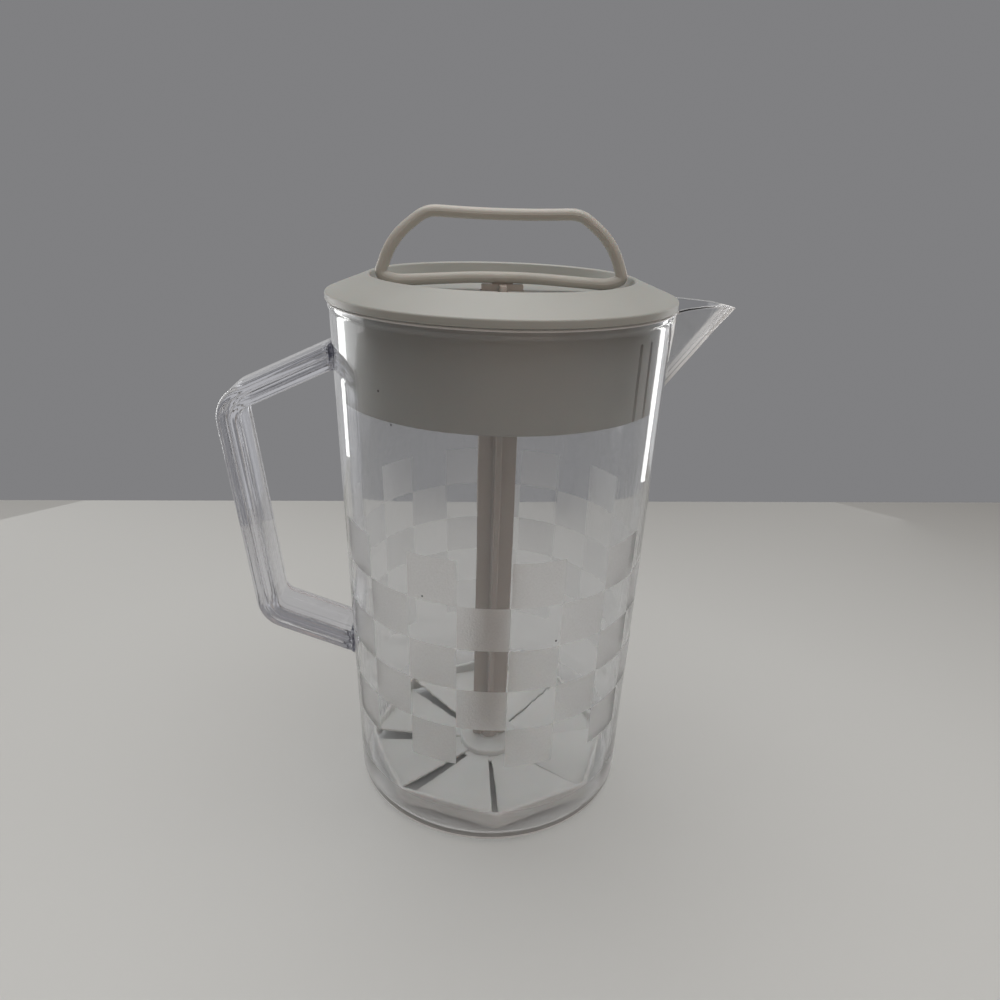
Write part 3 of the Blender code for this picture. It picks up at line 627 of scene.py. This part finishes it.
def spout_radius(jug, theta, z, inset):
    """Distance from the axis to the spout's side plane, for azimuth t and height z.

    It is (d - inset - nz z) / (nx cos t + ny sqrt(sin^2 t + e^2)), where n is the plane's normal, d its distance
    and e rounds the keel. Away from the spout it is 0.
    """
    normal, distance = spout_plane(jug)
    across = np.sqrt(np.sin(theta) ** 2 + KEEL_ROUND**2)
    below = normal[0] * np.cos(theta) + normal[1] * across
    above = distance - inset - normal[2] * z
    near = np.cos(theta) > 0.5
    return np.where(near, above / np.where(near, below, 1.0), 0.0)


def jug_mesh(jug):
    """The jug as one closed surface P(s, t), s along its section and t the azimuth.

    Outside, r is the soft maximum of the drafted wall and the spout's side plane. Inside, it is the same with
    both moved in by the wall. Over the rim r goes from one to the other with (1 + cos u) / 2 while z rises
    with sin u. Along the spout the rim arches a little and dips at the tip.
    """
    rim, wall = jug.rim_height, jug.wall
    dense = np.radians(24) * np.sinh(np.linspace(-2, 2, 221)) / np.sinh(2)
    coarse = np.radians(np.linspace(24, 336, 210)[1:-1])
    theta = np.concatenate([dense, coarse])
    foot, fillet, lip = 0.003, 0.003, 0.0006
    keel = rim - jug.spout_depth - 0.004
    foot_arc = arc((0, foot), foot, -90, 0)
    tall = np.concatenate([np.linspace(foot, keel, 16)[1:], np.linspace(keel, rim - 0.0030, 44)[1:]])
    bead = np.linspace(rim - 0.0027, rim - lip, 6)
    rise = np.concatenate([tall, bead])
    over = np.radians(np.linspace(0, 180, 9)[1:-1])
    fillet_arc = arc((0, jug.floor + fillet), fillet, 0, -90)
    drop = np.concatenate([[rim - lip], tall[::-1][:-1]])
    drop = drop[drop > jug.floor + fillet]

    def bead_out(z):
        """The rim's bead, half a millimetre outside the wall except at the spout."""
        grow = smooth_step((z - (rim - 0.0030)) / 0.0008)
        return 0.0005 * grow[:, None] * smooth_step((np.abs(np.sin(theta / 2)) - 0.165) / 0.03)[None]

    def outer(z):
        plane = spout_radius(jug, theta[None], z[:, None], 0.0)
        return soft_max(wall_radius(jug, z)[:, None], plane, 0.0010) + bead_out(z)

    def inner(z):
        plane = spout_radius(jug, theta[None], z[:, None], jug.spout_wall)
        return soft_max(wall_radius(jug, z)[:, None] - wall, plane, 0.0006)

    flat = np.ones(len(theta))[None]
    rings = [(np.array([0.012, 0.030, 0.048])[:, None] * flat, np.zeros(3))]
    rings.append((jug.base_radius - foot + foot_arc[:, :1] * flat, foot_arc[:, 1]))
    rings.append((outer(rise), rise))
    top = np.full(len(over), rim - lip)
    share = (0.5 + 0.5 * np.cos(over))[:, None]
    rings.append((outer(top) * share + inner(top) * (1 - share), top + lip * np.sin(over)))
    rings.append((inner(drop), drop))
    bore = wall_radius(jug, jug.floor + fillet) - wall
    rings.append((bore - fillet + fillet_arc[:, :1] * flat, fillet_arc[:, 1]))
    rings.append((np.array([0.048, 0.030, 0.012])[:, None] * flat, np.full(3, jug.floor)))
    r = np.concatenate([ring for ring, _ in rings])
    z = np.concatenate([height for _, height in rings])[:, None] * flat
    along = np.clip(np.abs(np.sin(theta)) * r / jug.spout_root, 0, 1)
    arch = 4 * along * (1 - along) * smooth_step((r - jug.rim_radius) / 0.004)
    dip = smooth_step((r - jug.spout_tip + 0.010) / 0.010)
    z = z + (0.0006 * arch - 0.0009 * dip) * smooth_step((z - (rim - 0.02)) / 0.02)
    points = np.stack([r * np.cos(theta), r * np.sin(theta), z], -1)
    return grid_mesh("clear_jug", points)


def handle_mesh(jug, handle):
    """The handle: its section (across, out) carried along the centre line, P = C(s) + out N(s) + across Y.

    Each end is carried on along its arm until it meets the wall, so the end rings lie on the wall's cone, and it
    swells there by 0.5 mm as the cement does. The UV map is (across + 1.3 out, s) in metres.
    """
    half_w, half_d = handle.width / 2, handle.depth / 2
    bed, half_groove = half_w - handle.groove, 0.0013
    right = [
        (half_w, -half_d, handle.edge),
        (half_w, -half_groove, 0.0005),
        (bed, -half_groove / 2, 0.0004),
        (bed, half_groove / 2, 0.0004),
        (half_w, half_groove, 0.0005),
        (half_w, half_d, handle.edge),
    ]
    left = [(-a, b, r) for a, b, r in reversed(right)]
    section = rounded(right + left, closed=True, count=6)
    top, low = np.array(handle.top_root), np.array(handle.low_root)
    top_corner, low_corner = np.array(handle.top_corner), np.array(handle.low_corner)
    bends = rounded([(*top, 0), (*top_corner, handle.bend), (*low_corner, handle.bend), (*low, 0)], count=17)
    middle = resample(bends[1:-1], 90)
    normal = normals_of(middle)
    rings = middle[:, None] + section[None, :, 1:] * normal[:, None]
    across = np.broadcast_to(section[None, :, 0], rings.shape[:2])
    points = np.stack([rings[..., 0], across, rings[..., 1]], -1)

    def to_wall(ring, direction):
        """Rings between a first ring and the wall: by Newton's steps, t solves |P + t D| = wall radius."""
        travel = np.zeros(len(ring))
        for _ in range(12):
            at = ring + travel[:, None] * direction
            reach = np.hypot(at[:, 0], at[:, 1])
            gap = reach - wall_radius(jug, at[:, 2]) - 0.0002
            slope = (at[:, 0] * direction[0]) / reach - wall_slope(jug) * direction[2]
            travel -= gap / slope
        share = np.concatenate([np.linspace(0, 0.9, 12)[1:], [0.94, 0.965, 0.98, 0.99, 1.0]])
        swell = smooth_step((share - 0.93) / 0.07) * 0.0005
        centre = ring.mean(0)
        out = ring - centre
        out -= (out @ direction)[:, None] * direction[None]
        out /= np.linalg.norm(out, axis=1)[:, None]
        travelled = share[:, None, None] * travel[None, :, None] * direction
        return ring + travelled + swell[:, None, None] * out[None]

    def arm(root, corner):
        d = root - corner
        d /= np.linalg.norm(d)
        return np.array([d[0], 0.0, d[1]])

    start = to_wall(points[0], arm(top, top_corner))[::-1]
    end = to_wall(points[-1], arm(low, low_corner))
    whole = np.concatenate([start, points, end])
    mesh = grid_mesh("clear_handle", whole)
    rows, columns = whole.shape[:2]
    steps = np.linalg.norm(np.diff(whole.mean(1), axis=0), axis=1)
    along = np.concatenate([[0], np.cumsum(steps)])
    around = section[:, 0] + 1.3 * section[:, 1]
    flat = np.column_stack([np.tile(around, rows), np.repeat(along, columns)])
    flat = np.concatenate([flat, [[0.0, 0.0], [0.0, along[-1]]]])
    corner = np.zeros(len(mesh.loops), np.int32)
    mesh.loops.foreach_get("vertex_index", corner)
    mesh.uv_layers.new(name="along_bar").uv.foreach_set("vector", flat[corner].astype(np.float32).ravel())
    seam = 3 * columns  # the faces of three rings at each end, and both caps, are the bonded seam
    index = np.zeros(len(mesh.polygons), np.int32)
    index[:seam] = 1
    index[(rows - 1) * columns - seam:] = 1
    return mesh, index


def lid_profile(jug, lid):
    """The lid's section (r, z): from the middle of its sunk top out and down the skirt to the guide's foot."""
    rim, foot = jug.rim_height, lid.skirt_foot
    edge_low, under = rim + 0.0003, rim + 0.0014
    clearance, skirt_thick = 0.0004, 0.0019
    guide_radius, guide_foot = 0.0115, rim - 0.0086
    top_out = wall_radius(jug, rim) - jug.wall - clearance
    foot_out = wall_radius(jug, foot) - jug.wall - clearance
    corners = [
        (0.0, rim + RECESS, 0),
        (0.0491, rim + RECESS, 0.0012),
        (0.0503, rim + 0.0089, 0.0007),
        (0.0513, rim + 0.0094, 0.0008),
        (0.0531, rim + 0.0086, 0.0030),
        (lid.radius, rim + 0.0031, 0.0009),
        (lid.radius, edge_low, 0.0004),
        (top_out, edge_low, 0.0003),
        (foot_out, foot, 0.0007),
        (foot_out - skirt_thick, foot, 0.0007),
        (top_out - skirt_thick, rim + RECESS, 0.0010),
        (0.0519, rim + 0.0071, 0.0006),
        (0.0519, under, 0.0006),
        (guide_radius, under, 0.0005),
        (guide_radius, guide_foot, 0.0005),
        (0.0, guide_foot, 0),
    ]
    path = rounded(corners, count=6)
    steps = np.linalg.norm(np.diff(path, axis=0), axis=1)
    extra = [np.linspace(a, b, 2 + int(d / 0.006))[:-1] for a, b, d in zip(path[:-1], path[1:], steps)]
    return np.concatenate([*extra, path[-1:]])


def slot_cutter(name, width, height, corner, foot, reach, depth, azimuth):
    """A cutter through the skirt: an upright slot with rounded top corners, carried through the wall."""
    half = width / 2
    outline = rounded([
        (-half, -0.003, 0), (half, -0.003, 0), (half, height, corner), (-half, height, corner)
    ], closed=True, count=8)
    out = np.array([np.cos(azimuth), np.sin(azimuth), 0.0])
    side = np.array([-np.sin(azimuth), np.cos(azimuth), 0.0])
    up = np.array([0.0, 0.0, 1.0])
    face = outline[:, :1] * side + (foot + outline[:, 1:]) * up
    return grid_mesh(name, np.stack([out * (reach - depth) + face, out * (reach + depth) + face]))


def rectangle(half_width, low, high, corner, count=ARC_POINTS):
    """A rectangle about the second axis, with rounded corners."""
    corners = [(-half_width, low), (half_width, low), (half_width, high), (-half_width, high)]
    return rounded([(*xy, corner) for xy in corners], closed=True, count=count)


def cross_outline(half_width, half_rib, inner_round, end_round):
    """A cross, its arms a tenth thinner at their ends, with rounded ends and filleted corners."""
    tip = half_rib * 0.9
    quarter = [(half_width, -tip, end_round), (half_width, tip, end_round), (half_rib, half_rib, inner_round)]
    corners = []
    for i in range(4):
        c, s = np.cos(i * np.pi / 2), np.sin(i * np.pi / 2)
        corners += [(c * x - s * y, s * x + c * y, r) for x, y, r in quarter]
    return rounded(corners, closed=True, count=5)


def lid_mesh(jug, lid, plunger):
    """The lid: its section turned, then cut by the strainer's slots, the pour gap and the cross-shaped hole."""
    mesh = turned("off_white_lid", lid_profile(jug, lid), 288)
    foot = lid.skirt_foot
    reach = wall_radius(jug, foot) - jug.wall - 0.0014
    cuts = [("DIFFERENCE", slot_cutter("gap", lid.gap_width, lid.gap_height, 0.005, foot, reach, 0.007, np.pi))]
    spread = lid.slot_spread * (np.arange(lid.slots) / (lid.slots - 1) - 0.5)
    slot = (lid.slot_width, lid.slot_height, 0.49 * lid.slot_width, foot, reach, 0.005)
    cuts += [("DIFFERENCE", slot_cutter("slot", *slot, a)) for a in spread]
    hole = cross_outline(plunger.shaft_width / 2 + 0.0005, plunger.shaft_rib / 2 + 0.0005, 0.0004, 0.0004)
    cuts.append(("DIFFERENCE", upright_prism("hole", hole, jug.rim_height - 0.012, jug.rim_height + 0.006)))
    return combined("off_white_lid", mesh, cuts)


def grip_mesh(jug, plunger):
    """The grip: a round section carried along a closed loop, P = C(s) + r(s, u) (cos u N(s) + sin u Y).

    r grows by 6% towards the loop's ends and has a low ridge where the two halves of the mould met.
    """
    out = GRIP_HIGH.x - 0.0018
    gap = 0.0008
    knee = jug.rim_height + RECESS + gap + plunger.bar / 2
    right = [
        (0.0, knee + 0.0240, 0.5000),
        (out * 0.618, knee + 0.0254, 0.0110),
        (out * 0.888, knee + 0.0154, 0.0280),
        (out, knee + 0.0020, 0.0014),
        (out * 0.863, knee, 0.0140),
        (0.0102, knee + 0.0019, 0.2500),
    ]
    left = [(-x, z, r) for x, z, r in reversed(right[1:])]
    path = resample(rounded(right + left, closed=True, count=48), 520, closed=True)
    path = soften(path, 2.4)
    normal = normals_of(path, closed=True)
    quarter = np.radians([0, 15, 30, 45, 60, 72, 82, 87, 89])
    u = np.concatenate([quarter, np.pi - quarter[:0:-1], np.pi + quarter, 2 * np.pi - quarter[:0:-1]])
    ridge = 0.00005 * (np.abs(np.sin(u)) > np.sin(np.radians(88)))
    ends = 1 + 0.06 * smooth_step((np.abs(path[:, 0]) / out - 0.6) / 0.4)
    radius = plunger.bar / 2 * ends[:, None] + ridge[None]
    flat = path[:, None] + (radius * np.cos(u))[..., None] * normal[:, None]
    points = np.stack([flat[..., 0], radius * np.sin(u), flat[..., 1]], -1)
    return grid_mesh("round_bar_grip", points, wrap_rows=True)


def shaft_mesh(plunger):
    """The shaft: a filleted cross at many heights, 4% narrower at the foot, with eased ends, a tongue and a peg.

    At the foot the two ribs across Y are cut back to a round boss, so that only the flat blade reaches the hub.
    """
    outline = cross_outline(plunger.shaft_width / 2, plunger.shaft_rib / 2, 0.0007, 0.0005)
    low, high = plunger.hub_top + BOSS_GAP, SHAFT_HIGH.z - 0.0023
    z = np.concatenate([[low, low + 0.0004], np.linspace(low + 0.004, high - 0.004, 14), [high - 0.0004, high]])
    ease = np.where((z == low) | (z == high), 0.965, 1.0)
    scale = (0.96 + 0.04 * (z - low) / (high - low)) * ease
    flat = outline[None] * scale[:, None, None]
    points = np.concatenate([flat, np.broadcast_to(z[:, None, None], (*flat.shape[:2], 1))], -1)
    mesh = grid_mesh("cross_shaft", points)
    tongue = rectangle(0.0040, -0.0007, 0.0007, 0.0003, 4)
    boss_high = low + 0.0085
    boss = turned("boss", rounded([
        (0, boss_high, 0),
        (plunger.peg_radius + 0.0002, boss_high, 0.0005),
        (plunger.peg_radius + 0.0005, low, 0.0003),
        (plunger.peg_radius, low, 0.0001),
        (plunger.peg_radius, SHAFT_LOW.z, 0.0004),
        (0, SHAFT_LOW.z, 0),
    ]), 64)
    cut = rectangle(0.003, 0.0036, plunger.shaft_width / 2 + 0.001, 0.0)
    return combined("cross_shaft", mesh, [
        ("UNION", upright_prism("tongue", tongue, high - 0.002, SHAFT_HIGH.z)),
        *[("DIFFERENCE", upright_prism("rib_cut", cut, low - 0.001, low + 0.0065, spin)) for spin in (0.0, np.pi)],
        ("UNION", boss),
    ])


def disc_mesh(plunger):
    """The disc: an eight-sided band, pitched blades with open slots that fall to the hub, and a hub with a socket.

    The band is a rounded strip carried round the octagon. A blade is a rounded strip whose width grows with the
    distance from the axis. Its height is the tangent of the pitch times the distance from its centre line, less a
    fall that grows in a straight line from the band to the hub. A thin web closes the slots next to the hub.
    """
    n = plunger.blades
    corner, low = DISC_HIGH.x + 0.0002, DISC_LOW.z + 0.0012
    height, thick = DISC_HIGH.z - low, 0.0018
    half_turn = np.pi / n
    angles = 2 * np.pi * np.arange(n) / n
    corners = np.column_stack([corner * np.cos(angles), corner * np.sin(angles), np.full(n, 0.0030)])
    path = resample(rounded(corners, closed=True, count=9), 320, closed=True)
    inward = normals_of(path, closed=True)
    strip = rounded([
        (0, 0, 0.0006), (0, height, 0.0007), (thick, height, 0.0007), (thick * 1.15, 0, 0.0006)
    ], closed=True, count=5)
    flat = path[:, None] + strip[None, :, :1] * inward[:, None]
    band = np.stack([flat[..., 0], flat[..., 1], np.broadcast_to(low + strip[None, :, 1], flat.shape[:2])], -1)
    mesh = grid_mesh("white_disc", band, wrap_rows=True)

    apothem = corner * np.cos(half_turn) - thick
    hub_radius = plunger.hub_radius
    hub_half = hub_radius * np.tan(half_turn) - 0.0016 / (2 * np.cos(half_turn))
    band_half = apothem * np.tan(half_turn) - 0.0030 / (2 * np.cos(half_turn))
    r = np.linspace(hub_radius - 0.0012, apothem + thick * 0.5, 12)
    half = hub_half + (band_half - hub_half) * (r - hub_radius) / (apothem - hub_radius)
    t = 0.0013
    pitch = np.tan(plunger.blade_pitch)
    drop = plunger.blade_fall * (apothem - r) / (apothem - hub_radius)

    def blade(azimuth):
        rings = []
        for radius, width, fall in zip(r, half, drop):
            across, up = rectangle(width, -t / 2, t / 2, 0.0005, 4).T
            rings.append(np.column_stack([np.full(len(up), radius), across, up + pitch * across - fall]))
        rings = np.stack(rings)
        c, s = np.cos(azimuth), np.sin(azimuth)
        x, y = rings[..., 0] * c - rings[..., 1] * s, rings[..., 0] * s + rings[..., 1] * c
        return grid_mesh("blade", np.stack([x, y, rings[..., 2] + low + 0.0035], -1))

    top = plunger.hub_top
    collar = plunger.peg_radius + 0.0010
    hub = rounded([
        (0, top + 0.0004, 0), (collar, top + 0.0004, 0.0002), (collar, top, 0.0001),
        (hub_radius, top, 0.0009), (hub_radius, DISC_LOW.z, 0.0004), (0, DISC_LOW.z, 0)
    ], count=7)
    web_radius, web_low = hub_radius + 0.0028, DISC_LOW.z + 0.0001
    web_top = web_low + 0.0016
    web = rounded([
        (0, web_top, 0), (web_radius, web_top, 0.0005), (web_radius, web_low, 0.0005), (0, web_low, 0)
    ], count=5)
    steps = [("UNION", blade((2 * i + 1) * half_turn)) for i in range(n)]
    steps.append(("UNION", turned("web", web, 96)))
    steps.append(("UNION", turned("hub", hub, 96)))
    socket = arc((0, 0), plunger.peg_radius + 0.0003, 0, 360, 49)[:-1]
    steps.append(("DIFFERENCE", upright_prism("socket", socket, top - 0.0033, top + 0.002)))
    return combined("white_disc", mesh, steps)


# ---- operators


class PITCHER_OT_jug(bpy.types.Operator):
    """Make the clear jug with its spout and frosted checks"""

    bl_idname = "pitcher.jug"
    bl_label = "Jug"

    def execute(self, context):
        jug, handle = context.scene.pitcher_jug, context.scene.pitcher_handle
        add_piece("clear_jug", jug_mesh(jug), [frosted_jug_material(jug, handle)], "jug", "pitcher_body", 60.0)
        return {"FINISHED"}


class PITCHER_OT_handle(bpy.types.Operator):
    """Make the clear bar handle with its bonded seams"""

    bl_idname = "pitcher.handle"
    bl_label = "Handle"

    def execute(self, context):
        jug, handle = context.scene.pitcher_jug, context.scene.pitcher_handle
        mesh, index = handle_mesh(jug, handle)
        materials = [clear_handle_material(handle), bond_material(handle)]
        add_piece("clear_handle", mesh, materials, "jug", "pour_handle", 50.0)
        mesh.polygons.foreach_set("material_index", index)
        return {"FINISHED"}


class PITCHER_OT_lid(bpy.types.Operator):
    """Make the off-white lid with its strainer, pour gap and guide"""

    bl_idname = "pitcher.lid"
    bl_label = "Lid"

    def execute(self, context):
        scene = context.scene
        mesh = lid_mesh(scene.pitcher_jug, scene.pitcher_lid, scene.pitcher_plunger)
        finish = moulded_material("off_white_lid", scene.pitcher_lid.colour, 0.42, 30.0, 0.10)
        add_piece("off_white_lid", mesh, [finish], "cover", "lid")
        return {"FINISHED"}


class PITCHER_OT_plunger(bpy.types.Operator):
    """Make the plunger: grip, shaft and mixing disc"""

    bl_idname = "pitcher.plunger"
    bl_label = "Plunger"

    def execute(self, context):
        jug, plunger = context.scene.pitcher_jug, context.scene.pitcher_plunger
        grip = moulded_material("off_white_grip", plunger.grip_colour, 0.40, 60.0, 0.10)
        shaft = moulded_material("off_white_shaft", plunger.shaft_colour, 0.24, 45.0, 0.10)
        disc = moulded_material("white_disc", plunger.disc_colour, 0.45, 35.0, 0.10)
        add_piece("round_bar_grip", grip_mesh(jug, plunger), [grip], "plunger", "plunger_grip")
        add_piece("cross_shaft", shaft_mesh(plunger), [shaft], "plunger", "plunger_shaft")
        add_piece("white_disc", disc_mesh(plunger), [disc], "plunger", "mixing_disc")
        return {"FINISHED"}


class PITCHER_OT_stage(bpy.types.Operator):
    """Make the floor, the grey backdrop, the soft lamps and the camera"""

    bl_idname = "pitcher.stage"
    bl_label = "Stage"

    def execute(self, context):
        scene = context.scene
        stage = scene.pitcher_stage
        half, far, near, low = 1.1, 0.312, -1.2, -0.03
        ring = np.array([(-half, near), (half, near), (half, far), (-half, far)])
        floor = in_scene("pale_floor", upright_prism("pale_floor", ring, low, -0.0002))
        f = Finish("pale_floor", stage.floor_colour)
        floor.data.materials.append(f.done(f.principled({
            "Base Color": (*stage.floor_colour, 1.0), "Roughness": 0.85, "IOR": 1.3
        })))

        scene.world = bpy.data.worlds.new("soft_room")
        w = Nodes(scene.world)
        light = w.node("ShaderNodeBackground", {}, {"Color": (1.0, 0.86, 0.76, 1.0), "Strength": 0.18})
        seen = w.node("ShaderNodeBackground", {}, {"Color": (*stage.backdrop, 1.0)})
        path = w.node("ShaderNodeLightPath").outputs
        ray = Signal(w, path["Is Camera Ray"]).larger(path["Is Glossy Ray"]).larger(path["Is Transmission Ray"])
        w.done(w.mixed(ray, light.outputs[0], seen.outputs[0]))

        no_floor = bpy.data.collections.new("not_lit_by_strips")
        no_floor.objects.link(floor)
        no_floor.collection_objects[0].light_linking.link_state = "EXCLUDE"
        lamps = [  # name, place, target, size, watts
            ("overhead_softbox", (0.04, 0.04, 1.15), (0.0, 0.0, 0.1), (1.4, 1.0), 10.9),
            ("left_window", (-0.95, 0.42, -0.05), (0.0, 0.0, 0.0), (0.50, 1.1), 1.7),
            ("left_card", (-0.295, 0.34, 0.05), (0.0, 0.0, 0.05), (0.36, 0.55), 0.16),
            ("left_strip", (-0.377, 0.270, 0.05), (0.0, 0.0, 0.05), (0.105, 0.55), 0.70),
            ("right_window", (1.05, 0.90, -0.05), (0.0, 0.0, 0.0), (0.60, 1.1), 0.6),
            ("right_strip", (0.367, 0.206, 0.05), (0.0, 0.0, 0.05), (0.062, 0.55), 0.40),
            ("right_card", (0.30, 0.34, 0.05), (0.0, 0.0, 0.05), (0.20, 0.55), 0.04),
            ("front_fill", (0.30, -1.3, 0.55), (0.0, 0.0, 0.12), (0.9, 0.9), 1.1),
        ]
        for name, place, target, size, power in lamps:
            lamp = bpy.data.lights.new(name, "AREA")
            lamp.shape = "RECTANGLE"
            lamp.size, lamp.size_y = size
            lamp.energy = power
            lamp.color = (1.0, 0.72, 0.55) if name == "front_fill" else (1.0, 1.0, 0.99)
            thing = in_scene(name, lamp)
            thing.location = place
            thing.rotation_euler = (Vector(target) - Vector(place)).to_track_quat("-Z", "Y").to_euler()
            thing.visible_camera = False
            if name.endswith("strip"):  # a strip only shows as a streak on the wall
                thing.light_linking.receiver_collection = no_floor
                thing.visible_transmission = False

        view = bpy.data.cameras.new("photo_view")
        view.sensor_width = 36.0
        view.lens = stage.camera_lens
        view.clip_start = 0.01
        camera = in_scene("photo_view", view)
        turn = Matrix.Rotation(stage.camera_turn, 4, "Z")
        tilt = Matrix.Rotation(np.pi / 2 - stage.camera_tilt, 4, "X")
        roll = Matrix.Rotation(stage.camera_roll, 4, "Z")
        camera.matrix_world = Matrix.Translation(stage.camera_place) @ turn @ tilt @ roll
        scene.camera = camera
        scene.view_settings.view_transform = "Standard"
        return {"FINISHED"}


class PITCHER_PT_panel(bpy.types.Panel):
    """Lists the steps that make the pitcher"""

    bl_idname = "PITCHER_PT_panel"
    bl_label = "Stir pitcher"
    bl_space_type = "VIEW_3D"
    bl_region_type = "UI"
    bl_category = "Pitcher"

    def draw(self, context):
        for step in STEPS:
            self.layout.operator(step.bl_idname)


STEPS = (PITCHER_OT_jug, PITCHER_OT_handle, PITCHER_OT_lid, PITCHER_OT_plunger, PITCHER_OT_stage)
GROUPS = {
    "pitcher_jug": JugSettings,
    "pitcher_handle": HandleSettings,
    "pitcher_lid": LidSettings,
    "pitcher_plunger": PlungerSettings,
    "pitcher_stage": StageSettings,
}


def register():
    for kind in (*GROUPS.values(), *STEPS, PITCHER_PT_panel):
        bpy.utils.register_class(kind)
    for name, kind in GROUPS.items():
        setattr(bpy.types.Scene, name, bpy.props.PointerProperty(type=kind))


def unregister():
    for name in GROUPS:
        delattr(bpy.types.Scene, name)
    for kind in (PITCHER_PT_panel, *reversed(STEPS), *reversed(GROUPS.values())):
        bpy.utils.unregister_class(kind)


def main():
    register()
    for thing in list(bpy.data.objects):
        if thing.type in {"CAMERA", "LIGHT"} or thing.name == "Cube":
            bpy.data.objects.remove(thing, do_unlink=True)
    bpy.ops.pitcher.jug()
    bpy.ops.pitcher.handle()
    bpy.ops.pitcher.lid()
    bpy.ops.pitcher.plunger()
    bpy.ops.pitcher.stage()
    bpy.context.view_layer.update()


if __name__ == "__main__":
    main()
